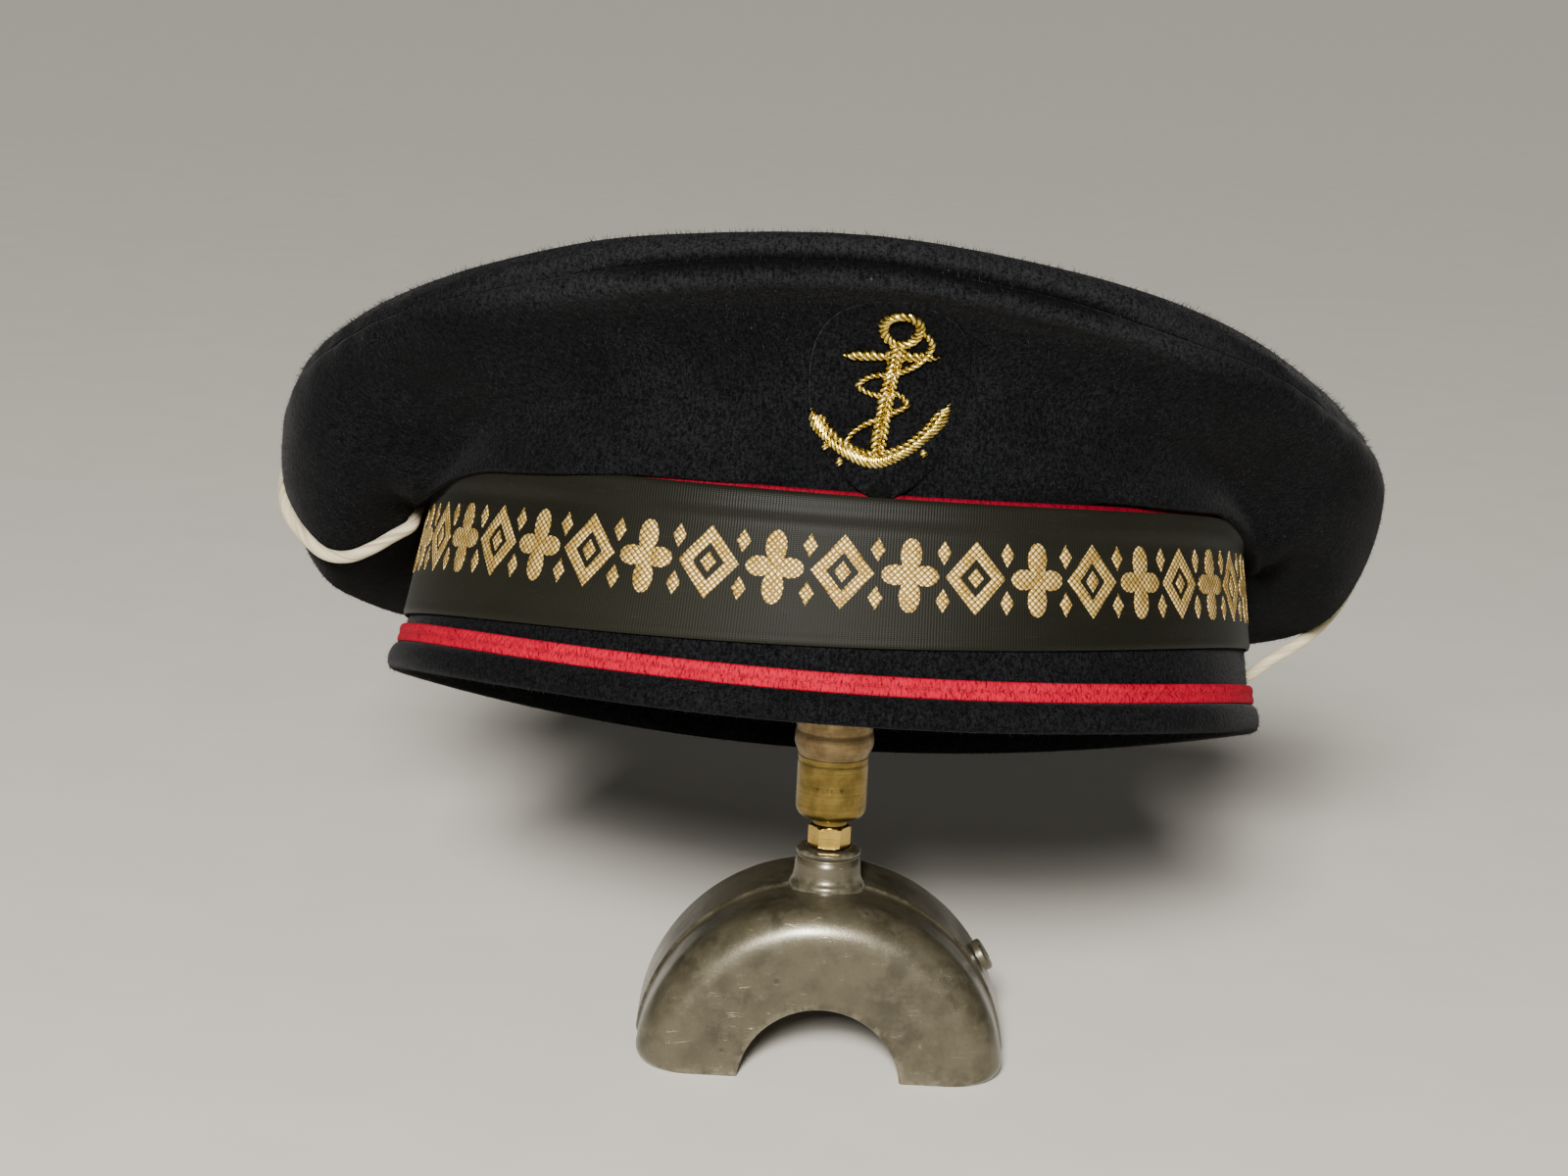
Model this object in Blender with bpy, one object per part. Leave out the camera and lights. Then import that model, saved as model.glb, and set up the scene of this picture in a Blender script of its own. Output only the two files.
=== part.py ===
"""A sailor's cap with a ribbon, a badge and a chin cord, standing on a small cast stand.

Units are metres and +Z is up. The cap is modelled in a frame of its own: the origin is the middle
of its bottom rim, X runs across the ears, -Y is the front and Z is up. Round the cap a place is an
azimuth, which is 0 at the front and grows towards +X, and a section: how far out and how far up
from the top edge of the band. The stand's axis is the world's Z axis while the model is made, and
the whole model is then moved so that the middle of its bounding box's underside is the origin.
"""

import math

import bmesh
import bpy
import numpy as np
from mathutils import Matrix, Vector
from mathutils.bvhtree import BVHTree

# Clearance between two pieces that touch
GAP = 0.0003

# Head band
RIM_WIDTH = 0.191
RIM_DEPTH = 0.197
BAND_TAPER = 0.007
BAND_LEAN = 0.0005
BAND_SADDLE = 0.004
BAND_WALL = 0.003
HEM_HEIGHT = 0.0062
HEM_BULGE = 0.0022

# Ribbon and braids on the band
BRAID_WIDTH = 0.004
BRAID_THICKNESS = 0.001
BRAID_GROOVE = 0.0004
BRAID_TO_RIBBON = 0.005
RIBBON_WIDTH = 0.0302
RIBBON_THICKNESS = 0.001
RIBBON_SKEW = 0.003
RIBBON_TO_TOP = 0.0006
BAND_HEIGHT = HEM_HEIGHT + BRAID_WIDTH + BRAID_TO_RIBBON + RIBBON_WIDTH + RIBBON_TO_TOP
BRAID_FACE = GAP + BRAID_THICKNESS
RIBBON_FACE = BRAID_FACE + GAP + RIBBON_THICKNESS

# Crown
CLOTH = 0.002
FRONT_RISE = 0.0465
OVERHANG = 0.0326
DOME = 0.003
LOBE_SKEW = 0.0055
TOP_SKEW = -0.0015
CROWN_DRIFT = -0.0008
AZIMUTHS = 48

# Badge. Its places are (across, along): across is measured round the crown from BADGE_AZIMUTH and
# along is measured up the crown's cloth from the band's top edge.
BADGE_AZIMUTH = math.radians(4.0)
BADGE_REACH = RIM_WIDTH / 2 - BAND_TAPER
PATCH_WIDTH = 0.031
PATCH_HEIGHT = 0.0415
PATCH_BOTTOM = 0.0012
PATCH_THICKNESS = 0.0012
PATCH_LIFT = 0.0005
ANCHOR_LIFT = PATCH_LIFT + PATCH_THICKNESS + 1.5 * GAP
ANCHOR_HEIGHT = 0.0013
ANCHOR_SPREAD = 0.027

# Chin cord
CORD_DIAMETER = 0.0028

# Stand
FOOT_RADIUS = 0.0422
FOOT_DEPTH = 0.041
FOOT_SINK = 0.002
ARCH_RADIUS = 0.0182
SHOULDER_RADIUS = 0.0085
RIDGE_DEPTH = 0.020
RIDGE_STEP = 0.0006
BACK_ROUND = 0.002
TOE_RADIUS = 0.0035
BOSS_RADIUS = 0.0075
BOSS_FLARE = 0.0008
BOSS_HEIGHT = 0.0078
SCREW_RADIUS = 0.0038
SCREW_HEIGHT = 0.0026
SCREW_ANGLE = math.radians(32.0)
SCREW_BACK = 0.010
NUT_FLATS = 0.0083
NUT_HEIGHT = 0.0051
NECK_RADIUS = 0.0038
NECK_HEIGHT = 0.0015
SOCKET_RADIUS = 0.008
SOCKET_HEIGHT = 0.0145
SOCKET_ROUND = 0.0028
RING_RADIUS = 0.0089
RING_HEIGHT = 0.010
RING_FLARE = 0.0022
POST_RADIUS = 0.006
PAD_RADIUS = 0.024
PAD_THICKNESS = 0.004

# Heights over the floor
BOSS_TOP = FOOT_RADIUS - FOOT_SINK + BOSS_HEIGHT
NUT_BOTTOM = BOSS_TOP + GAP
NECK_BOTTOM = NUT_BOTTOM + NUT_HEIGHT + GAP
SOCKET_BOTTOM = NECK_BOTTOM + NECK_HEIGHT
RING_BOTTOM = SOCKET_BOTTOM + SOCKET_HEIGHT + GAP
RING_TOP = RING_BOTTOM + RING_HEIGHT

# Place of the cap on the stand
CAP_TILT = math.radians(16.6)
CAP_ROLL = math.radians(1.4)
CAP_SHIFT = (-0.0033, 0.0036)
RIM_BELOW_RING_TOP = 0.0037

# Sections of the crown from the front to the back, the same on both sides. Columns: azimuth in
# degrees, then the out and up of six points: the lip over the ribbon, the fold where the wall turns
# out, the underside, the bulge, the seam and the top of the edge. Out is a share of OVERHANG (the
# lip's starts at the ribbon's face) and up is a share of FRONT_RISE.
CROWN_SECTIONS = (
    (0, -0.06, 0.110, 0.06, 0.480, 0.29, 0.700, 0.62, 0.830, 0.715, 0.910, 0.60, 1.045),
    (22, -0.04, 0.085, 0.08, 0.430, 0.32, 0.610, 0.67, 0.740, 0.760, 0.815, 0.63, 0.970),
    (42, 0.03, 0.020, 0.12, 0.270, 0.40, 0.390, 0.79, 0.540, 0.865, 0.650, 0.69, 0.815),
    (60, 0.04, 0.000, 0.15, 0.120, 0.45, 0.170, 0.91, 0.330, 0.930, 0.465, 0.72, 0.645),
    (75, 0.05, 0.000, 0.20, -0.030, 0.58, -0.140, 1.01, 0.100, 0.990, 0.330, 0.75, 0.530),
    (90, 0.05, 0.000, 0.23, -0.270, 0.74, -0.440, 1.06, -0.060, 1.000, 0.235, 0.77, 0.440),
    (110, 0.05, 0.000, 0.24, -0.440, 0.86, -0.510, 1.10, -0.170, 1.000, 0.160, 0.77, 0.340),
    (150, 0.05, 0.000, 0.25, -0.380, 0.82, -0.470, 1.06, -0.150, 0.970, 0.135, 0.77, 0.285),
    (180, 0.05, 0.000, 0.25, -0.350, 0.78, -0.430, 1.03, -0.140, 0.960, 0.130, 0.77, 0.270),
)
SKEW_SHARES = ((0.2, 0.0), (0.5, 0.3), (0.9, 0.6), (1.0, 0.6), (0.6, 1.0), (0.2, 1.0))
SKEW_RANGE = (0.42, 0.68)
CONTROL_POINTS = 7
SEAM_POINT = 5

# The anchor's strokes as (across, along, width), in shares of ANCHOR_SPREAD
ANCHOR_RING = (0.037, 1.31, 0.135, 0.062)
ANCHOR_STOCK = (
    (-0.355, 1.035, 0.020), (-0.270, 1.045, 0.085), (-0.020, 1.075, 0.075), (0.240, 1.118, 0.085),
    (0.352, 1.135, 0.020),
)
ANCHOR_SHANK = (
    (0.025, 1.175, 0.070), (0.015, 1.000, 0.085), (-0.015, 0.700, 0.095), (-0.040, 0.430, 0.110),
    (-0.055, 0.260, 0.130),
)
ANCHOR_ARMS = (
    (-0.545, 0.600, 0.015), (-0.490, 0.485, 0.120), (-0.400, 0.370, 0.080), (-0.250, 0.275, 0.090),
    (-0.060, 0.240, 0.125), (0.130, 0.305, 0.090), (0.290, 0.435, 0.080), (0.395, 0.580, 0.120),
    (0.455, 0.705, 0.015),
)
ANCHOR_ROPE = (
    (0.160, 1.330, 0.035), (0.248, 1.200, 0.045), (0.200, 1.040, 0.045), (0.070, 0.930, 0.045),
    (-0.150, 0.870, 0.045), (-0.215, 0.790, 0.045), (-0.090, 0.725, 0.045), (0.110, 0.740, 0.045),
    (0.165, 0.680, 0.045), (0.060, 0.600, 0.045), (-0.120, 0.520, 0.045), (-0.250, 0.385, 0.035),
)

# Route of the chin cord in the cap's frame, in millimetres, from the fold over the ear on the left,
# over the crown, to the band's side on the right
CORD_ROUTE = (
    (-94.3, -8, 36.3), (-98, -10, 33.4), (-102.5, -11, 30.2), (-107.5, -11, 28), (-112.5, -11, 28.3),
    (-117.8, -10, 32.2), (-122.4, -8, 37.7), (-125.1, -5, 45), (-125.4, 0, 53), (-122.6, 5, 62),
    (-118.2, 9, 68.8), (-111, 10, 72.2), (-90, 10, 73.2), (-60, 10, 74), (-30, 10, 74.7),
    (0, 10, 75.2), (30, 10, 74.5), (60, 10, 73.5), (90, 10, 72.2), (105, 10, 71.5),
    (114, 11, 70.3), (120.6, 13, 65), (124.2, 14, 57), (125.4, 15, 49), (124, 16, 41.5),
    (120.2, 17, 34.8), (113, 19, 28.3), (104.5, 22, 22.8), (97, 26, 17), (93, 30.5, 16.2),
    (90.2, 35.3, 16.4), (87.6, 40.5, 16.8),
)
CORD_POINTS = 70

MATERIALS = {
    "wool": ((0.012, 0.013, 0.020), 0.95, 0.0),
    "braid": ((0.62, 0.02, 0.05), 0.6, 0.0),
    "ribbon": ((0.05, 0.048, 0.04), 0.6, 0.0),
    "gold": ((0.70, 0.50, 0.16), 0.35, 0.8),
    "cotton": ((0.78, 0.73, 0.60), 0.85, 0.0),
    "cast": ((0.22, 0.20, 0.17), 0.4, 0.9),
    "brass": ((0.75, 0.55, 0.22), 0.25, 1.0),
    "aged": ((0.42, 0.33, 0.17), 0.4, 0.9),
    "wood": ((0.30, 0.20, 0.12), 0.6, 0.0),
}


def material(name):
    """The named material, made on first use."""
    found = bpy.data.materials.get(name)
    if found:
        return found
    colour, roughness, metallic = MATERIALS[name]
    made = bpy.data.materials.new(name)
    made.use_nodes = True
    shader = made.node_tree.nodes["Principled BSDF"]
    shader.inputs["Base Color"].default_value = (*colour, 1.0)
    shader.inputs["Roughness"].default_value = roughness
    shader.inputs["Metallic"].default_value = metallic
    return made


def add_object(name, mesh, finish, parent=None, smooth_angle=None):
    """Links a mesh to the scene as a named object with a material."""
    if smooth_angle is not None:
        mesh.shade_smooth()
        mesh.set_sharp_from_angle(angle=math.radians(smooth_angle))
    mesh.materials.append(material(finish))
    made = bpy.data.objects.new(name, mesh)
    bpy.context.scene.collection.objects.link(made)
    made.parent = parent
    return made


def stack_mesh(name, rings, closed=False):
    """A closed body through rings of points. A closed stack joins its last ring to its first."""
    bm = bmesh.new()
    loops = [[bm.verts.new(point) for point in ring] for ring in rings]
    pairs = list(zip(loops, loops[1:]))
    if closed:
        pairs.append((loops[-1], loops[0]))
    for low, high in pairs:
        for i in range(len(low)):
            j = (i + 1) % len(low)
            bm.faces.new((low[i], low[j], high[j], high[i]))
    if not closed:
        bm.faces.new(list(reversed(loops[0])))
        bm.faces.new(loops[-1])
    bmesh.ops.recalc_face_normals(bm, faces=bm.faces)
    mesh = bpy.data.meshes.new(name)
    bm.to_mesh(mesh)
    bm.free()
    return mesh


def turned_rings(profile, sides=32):
    """Rings round the Z axis from a profile of (radius, height)."""
    turns = [2 * math.pi * i / sides for i in range(sides)]
    return [[Vector((r * math.cos(t), r * math.sin(t), z)) for t in turns] for r, z in profile]


def arc(centre, radius, start, end, steps):
    """Points of an arc about (x, y), from start to end in degrees."""
    angles = [math.radians(start + (end - start) * i / steps) for i in range(steps + 1)]
    return [(centre[0] + radius * math.cos(a), centre[1] + radius * math.sin(a)) for a in angles]


def catmull(points, u):
    """A point at parameter u of a centripetal Catmull-Rom curve through 2-D or 3-D points."""
    last = len(points) - 1
    i = min(int(u), last - 1)
    p = [np.asarray(points[k], dtype=float) for k in (max(i - 1, 0), i, i + 1, min(i + 2, last))]
    if i == 0:
        p[0] = 2 * p[1] - p[2]
    if i == last - 1:
        p[3] = 2 * p[2] - p[1]
    t = [0.0]
    for a, b in zip(p, p[1:]):
        t.append(t[-1] + max(np.linalg.norm(b - a), 1e-9) ** 0.5)
    x = t[1] + (u - i) * (t[2] - t[1])
    a1 = (t[1] - x) / (t[1] - t[0]) * p[0] + (x - t[0]) / (t[1] - t[0]) * p[1]
    a2 = (t[2] - x) / (t[2] - t[1]) * p[1] + (x - t[1]) / (t[2] - t[1]) * p[2]
    a3 = (t[3] - x) / (t[3] - t[2]) * p[2] + (x - t[2]) / (t[3] - t[2]) * p[3]
    b1 = (t[2] - x) / (t[2] - t[0]) * a1 + (x - t[0]) / (t[2] - t[0]) * a2
    b2 = (t[3] - x) / (t[3] - t[1]) * a2 + (x - t[1]) / (t[3] - t[1]) * a3
    return (t[2] - x) / (t[2] - t[1]) * b1 + (x - t[1]) / (t[2] - t[1]) * b2


def smooth_step(value, low, high):
    """0 below low, 1 above high and a smooth blend between."""
    share = min(max((value - low) / (high - low), 0.0), 1.0)
    return share * share * (3 - 2 * share)


def section_row(azimuth):
    """The crown's section values at an azimuth, blended smoothly between the table's rows."""
    angle = abs(math.degrees(math.remainder(azimuth, 2 * math.pi)))
    rows = np.array(CROWN_SECTIONS, dtype=float)
    before, after = rows[1].copy(), rows[-2].copy()
    before[0] = -before[0]
    after[0] = 360.0 - after[0]
    rows = np.vstack([before, rows, after])
    knots = rows[:, 0]
    i = int(np.clip(np.searchsorted(knots, angle, side="right") - 1, 1, len(knots) - 3))
    span = knots[i + 1] - knots[i]
    t = (angle - knots[i]) / span
    slope_a = (rows[i + 1] - rows[i - 1]) / (knots[i + 1] - knots[i - 1])
    slope_b = (rows[i + 2] - rows[i]) / (knots[i + 2] - knots[i])
    blend = (2 * t**3 - 3 * t**2 + 1) * rows[i] + (t**3 - 2 * t**2 + t) * span * slope_a
    return blend + (-2 * t**3 + 3 * t**2) * rows[i + 1] + (t**3 - t**2) * span * slope_b


def band_point(azimuth, height, out=0.0):
    """A point on the band's outside, at a height over the rim, or out from it."""
    share = height / BAND_HEIGHT
    half_width = RIM_WIDTH / 2 - BAND_TAPER * share
    half_depth = RIM_DEPTH / 2 - BAND_TAPER * share
    normal = Vector((math.sin(azimuth) / half_width, -math.cos(azimuth) / half_depth, 0)).normalized()
    base = Vector((
        half_width * math.sin(azimuth) + BAND_LEAN * share,
        -half_depth * math.cos(azimuth),
        height - BAND_SADDLE * math.cos(2 * azimuth),
    ))
    return base + normal * float(out)


def crown_controls(azimuth):
    """The control points (out, up) of the crown's section at an azimuth."""
    row = section_row(azimuth)[1:]
    points = [(row[2 * k] * OVERHANG, row[2 * k + 1] * FRONT_RISE) for k in range(CONTROL_POINTS - 1)]
    lip_out, lip_up = points[0]
    points[0] = (RIBBON_FACE + GAP + lip_out, lip_up)
    lobe = LOBE_SKEW * math.sin(azimuth) * smooth_step(abs(math.sin(azimuth / 2)), *SKEW_RANGE)
    top = TOP_SKEW * math.sin(azimuth)
    points = [(out, up + lobe * a + top * b) for (out, up), (a, b) in zip(points, SKEW_SHARES)]
    turned = min(max(1.0 - lip_up / (0.05 * FRONT_RISE), 0.0), 1.0)
    start = (-0.5 * CLOTH * turned, GAP + 0.5 * CLOTH * turned)
    return [start] + points


def crown_place(azimuth, out, up):
    """A section point put into the cap's frame."""
    point = band_point(azimuth, BAND_HEIGHT, out)
    point.x += CROWN_DRIFT * min(float(out) / OVERHANG, 1.0)
    point.z += float(up)
    return point


def crown_pair(azimuth, u):
    """The outer and inner point of the crown's cloth at section parameter u."""
    controls = crown_controls(azimuth)
    here = catmull(controls, u)
    step = 0.01
    ahead = catmull(controls, min(u + step, CONTROL_POINTS - 1))
    behind = catmull(controls, max(u - step, 0.0))
    tangent = (ahead - behind) / np.linalg.norm(ahead - behind)
    inner = here + CLOTH * np.array((-tangent[1], tangent[0]))
    return crown_place(azimuth, *here), crown_place(azimuth, *inner)


def seam_step(azimuth):
    """Half the clearance at the seam, as a step of the section parameter."""
    controls = crown_controls(azimuth)
    speed = np.linalg.norm(catmull(controls, SEAM_POINT + 0.05) - catmull(controls, SEAM_POINT - 0.05)) / 0.1
    return 1.4 * GAP / speed


def azimuth_list(count=AZIMUTHS):
    """Equal steps round the cap."""
    return [2 * math.pi * i / count for i in range(count)]


def ring_piece(name, profile_at, finish, parent, smooth_angle=40):
    """A closed hoop round the band. profile_at gives the corners (height, out) at an azimuth."""
    columns = [[band_point(a, h, o) for h, o in profile_at(a)] for a in azimuth_list()]
    rings = [list(ring) for ring in zip(*columns)]
    return add_object(name, stack_mesh(name, rings, closed=True), finish, parent, smooth_angle)


def make_band(cap):
    """The head band, with its hem folded round the rim."""
    hem = arc((HEM_HEIGHT * 0.5, 0.0), HEM_HEIGHT * 0.5, 0, 180, 6)
    outside = [(BAND_HEIGHT, 0.0), (BAND_HEIGHT * 0.5, 0.0), (HEM_HEIGHT + BRAID_WIDTH, 0.0)]
    outside += [(h, max(o, 0) / (HEM_HEIGHT * 0.5) * HEM_BULGE) for h, o in hem]
    inside = [(0.0, -BAND_WALL), (BAND_HEIGHT * 0.5, -BAND_WALL), (BAND_HEIGHT, -BAND_WALL)]
    return ring_piece("band", lambda azimuth: outside + inside, "wool", cap)


def braid_profile(bottom):
    """Two soft rows side by side, with a groove between them."""
    top = bottom + BRAID_WIDTH
    middle = bottom + BRAID_WIDTH / 2
    soft = BRAID_WIDTH * 0.12
    return [
        (top, GAP), (top, BRAID_FACE - BRAID_GROOVE), (top - soft, BRAID_FACE),
        (middle + soft, BRAID_FACE), (middle, BRAID_FACE - BRAID_GROOVE), (middle - soft, BRAID_FACE),
        (bottom + soft, BRAID_FACE), (bottom, BRAID_FACE - BRAID_GROOVE), (bottom, GAP),
    ]


def make_braids(cap):
    """The flat braid near the hem and the one under the ribbon's top edge."""
    ring_piece("lower_braid", lambda azimuth: braid_profile(HEM_HEIGHT), "braid", cap)
    bottom = BAND_HEIGHT + GAP - BRAID_WIDTH
    flat = [(bottom + BRAID_WIDTH, GAP), (bottom + BRAID_WIDTH, BRAID_FACE), (bottom, BRAID_FACE), (bottom, GAP)]
    ring_piece("upper_braid", lambda azimuth: flat, "braid", cap)


def ribbon_profile(azimuth):
    """The ribbon lies on the band below and passes over the upper braid at its top."""
    top = BAND_HEIGHT - RIBBON_TO_TOP
    bottom = top - RIBBON_WIDTH + RIBBON_SKEW * math.sin(azimuth)
    over = BAND_HEIGHT - BRAID_WIDTH
    bend = over - 3 * BRAID_FACE
    back = RIBBON_FACE - RIBBON_THICKNESS
    return [
        (top, back), (top, RIBBON_FACE), (over, RIBBON_FACE), (bend, GAP + RIBBON_THICKNESS),
        (bottom, GAP + RIBBON_THICKNESS), (bottom, GAP), (bend, GAP), (over, back),
    ]


def make_crown_side(cap):
    """The crown's side, from the band's top edge over the lobes up to the seam."""
    steps = [SEAM_POINT * i / 10 for i in range(11)]
    columns = []
    for azimuth in azimuth_list():
        last = SEAM_POINT - seam_step(azimuth)
        pairs = [crown_pair(azimuth, min(u, last)) for u in steps]
        columns.append([outer for outer, _ in pairs] + [inner for _, inner in reversed(pairs)])
    rings = [list(ring) for ring in zip(*columns)]
    add_object("crown_side", stack_mesh("crown_side", rings, closed=True), "wool", cap, 50)


def top_centre():
    """The middle of the crown's top surface."""
    rims = [crown_pair(a, CONTROL_POINTS - 1)[0] for a in azimuth_list()]
    return sum(rims, Vector()) / len(rims)


def top_point(rim, centre, share, lift):
    """A point of the slightly domed top, a share of the way from its middle to its rim."""
    point = centre.lerp(rim, share)
    point.z += DOME * (1 - share * share) + lift
    return point


def make_crown_top(cap):
    """The round top, rolled over its edge down to the seam."""
    centre = top_centre()
    roll = [SEAM_POINT, SEAM_POINT + 0.35, SEAM_POINT + 0.7, CONTROL_POINTS - 1]
    shares = [0.90, 0.70, 0.40, 0.08]
    columns = []
    for azimuth in azimuth_list():
        first = SEAM_POINT + seam_step(azimuth)
        pairs = [crown_pair(azimuth, max(u, first)) for u in roll]
        outer_rim, inner_rim = pairs[-1]
        outer = [pair[0] for pair in pairs] + [top_point(outer_rim, centre, s, 0) for s in shares]
        drop = inner_rim.z - outer_rim.z
        inner = [pair[1] for pair in pairs] + [top_point(outer_rim, centre, s, drop) for s in shares]
        columns.append(list(reversed(inner)) + outer)
    rings = [list(ring) for ring in zip(*columns)]
    add_object("crown_top", stack_mesh("crown_top", rings), "wool", cap, 50)


def section_line(azimuth, last=4.7, steps=40):
    """Points (out, up) along the outside of the crown's section, with the length run so far."""
    controls = crown_controls(azimuth)
    points = [catmull(controls, last * i / steps) for i in range(steps + 1)]
    runs = [0.0]
    for a, b in zip(points, points[1:]):
        runs.append(runs[-1] + float(np.linalg.norm(b - a)))
    return points, runs


def badge_point(across, along, lift):
    """A place on the front of the crown, lifted off its cloth."""
    azimuth = BADGE_AZIMUTH + across / BADGE_REACH
    points, runs = section_line(azimuth)
    i = int(np.clip(np.searchsorted(runs, along) - 1, 1, len(points) - 3))
    share = (along - runs[i]) / (runs[i + 1] - runs[i])
    here = points[i] + (points[i + 1] - points[i]) * share
    before = points[i + 1] - points[i - 1]
    after = points[i + 2] - points[i]
    tangent = before + (after - before) * min(max(share, 0.0), 1.0)
    tangent = tangent / np.linalg.norm(tangent)
    return crown_place(azimuth, *(here + lift * np.array((tangent[1], -tangent[0]))))


def make_patch(cap, sides=32):
    """The oval cloth patch under the anchor, bent over the crown's front."""
    turns = [2 * math.pi * i / sides for i in range(sides)]
    middle = PATCH_BOTTOM + PATCH_HEIGHT / 2
    top = PATCH_LIFT + PATCH_THICKNESS
    shares = [0.1, 0.35, 0.58, 0.8, 1.0]
    layers = [(share, PATCH_LIFT) for share in shares] + [(share, top) for share in reversed(shares)]
    rings = [
        [
            badge_point(share * PATCH_WIDTH / 2 * math.sin(t), middle - share * PATCH_HEIGHT / 2 * math.cos(t), lift)
            for t in turns
        ]
        for share, lift in layers
    ]
    add_object("anchor_patch", stack_mesh("anchor_patch", rings), "wool", cap, 50)


def stroke_mesh(name, stroke, base, height, closed=False):
    """A flat-backed, round-topped stroke along points of (across, along, width)."""
    count = len(stroke)
    rings = []
    for i, (x, y, width) in enumerate(stroke):
        before = stroke[i - 1] if closed or i else stroke[0]
        after = stroke[(i + 1) % count] if closed or i < count - 1 else stroke[-1]
        ahead = Vector((after[0] - before[0], after[1] - before[1])).normalized()
        side = Vector((-ahead.y, ahead.x, 0)) * width / 2
        centre = Vector((x, y, base))
        rise = Vector((0, 0, height))
        rings.append([
            centre - side, centre + side, centre + side + rise * 0.45,
            centre + side * 0.45 + rise, centre - side * 0.45 + rise, centre - side + rise * 0.45,
        ])
    return stack_mesh(name, rings, closed)


def smooth_stroke(stroke, count):
    """A stroke's points blended into a smooth line, scaled to the anchor's size."""
    last = len(stroke) - 1
    return [tuple(catmull(stroke, last * i / (count - 1)) * ANCHOR_SPREAD) for i in range(count)]


def union(name, meshes):
    """One closed mesh out of several that overlap. The temporary objects are removed."""
    parts = [bpy.data.objects.new(name + "_part", mesh) for mesh in meshes]
    for item in parts:
        bpy.context.scene.collection.objects.link(item)
    for item in parts[1:]:
        join = parts[0].modifiers.new("join", "BOOLEAN")
        join.operation = "UNION"
        join.solver = "EXACT"
        join.object = item
    bpy.context.view_layer.update()
    joined = bpy.data.meshes.new_from_object(parts[0].evaluated_get(bpy.context.evaluated_depsgraph_get()))
    joined.name = name
    for item in parts:
        bpy.data.objects.remove(item)
    return joined


def make_anchor(cap):
    """The embroidered anchor: its strokes joined flat and then laid on the patch."""
    x, y, radius, width = ANCHOR_RING
    turns = [2 * math.pi * i / 16 for i in range(16)]
    hoop = [(x + radius * math.cos(t), y + radius * math.sin(t), width) for t in turns]
    hoop = [tuple(value * ANCHOR_SPREAD for value in point) for point in hoop]
    joined = union("anchor_badge", [
        stroke_mesh("shank", smooth_stroke(ANCHOR_SHANK, 7), 0.0, ANCHOR_HEIGHT),
        stroke_mesh("ring", hoop, 0.00006, ANCHOR_HEIGHT * 0.8, closed=True),
        stroke_mesh("stock", smooth_stroke(ANCHOR_STOCK, 9), 0.0001, ANCHOR_HEIGHT * 0.85),
        stroke_mesh("arms", smooth_stroke(ANCHOR_ARMS, 21), 0.00003, ANCHOR_HEIGHT * 0.9),
        stroke_mesh("rope", smooth_stroke(ANCHOR_ROPE, 24), 0.00013, ANCHOR_HEIGHT * 0.97),
    ])
    for vertex in joined.vertices:
        across, along, lift = vertex.co
        vertex.co = badge_point(across, along, ANCHOR_LIFT + lift)
    add_object("anchor_badge", joined, "gold", cap, 40)


def make_cord(cap):
    """The chin cord, a smooth line through the chosen points."""
    last = len(CORD_ROUTE) - 1
    line = [catmull(CORD_ROUTE, last * i / (CORD_POINTS - 1)) / 1000 for i in range(CORD_POINTS)]
    curve = bpy.data.curves.new("chin_cord", "CURVE")
    curve.dimensions = "3D"
    curve.bevel_depth = CORD_DIAMETER / 2
    curve.bevel_resolution = 2
    curve.use_fill_caps = True
    spline = curve.splines.new("POLY")
    spline.points.add(len(line) - 1)
    for place, point in zip(spline.points, line):
        place.co = (*point, 1.0)
    curve.materials.append(material("cotton"))
    made = bpy.data.objects.new("chin_cord", curve)
    bpy.context.scene.collection.objects.link(made)
    made.parent = cap


def foot_outline(radius, steps=20):
    """The foot's outside in a cross-section (x, z), from the right toe over the top to the left."""
    toe_height = TOE_RADIUS + FOOT_SINK
    toe_x = math.sqrt((radius - TOE_RADIUS) ** 2 - toe_height**2)
    start = math.degrees(math.atan2(toe_height, toe_x))
    right = arc((toe_x, TOE_RADIUS), TOE_RADIUS, -90, start, 3)[:-1]
    over = arc((0.0, -FOOT_SINK), radius, start, 180 - start, steps)
    left = [(-x, z) for x, z in reversed(right)]
    return right + over + left


def foot_stations():
    """The foot's depth stations (y, outer radius), from the front face to the back face."""
    front = -FOOT_DEPTH / 2
    ridge = front + RIDGE_DEPTH
    low = FOOT_RADIUS - RIDGE_STEP
    shoulder = arc((front + SHOULDER_RADIUS, low - SHOULDER_RADIUS), SHOULDER_RADIUS, 180, 90, 5)
    back = arc((FOOT_DEPTH / 2 - BACK_ROUND, FOOT_RADIUS - BACK_ROUND), BACK_ROUND, 90, 0, 2)
    return shoulder + [(ridge - RIDGE_STEP / 2, low), (ridge + RIDGE_STEP / 2, FOOT_RADIUS)] + back


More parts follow.
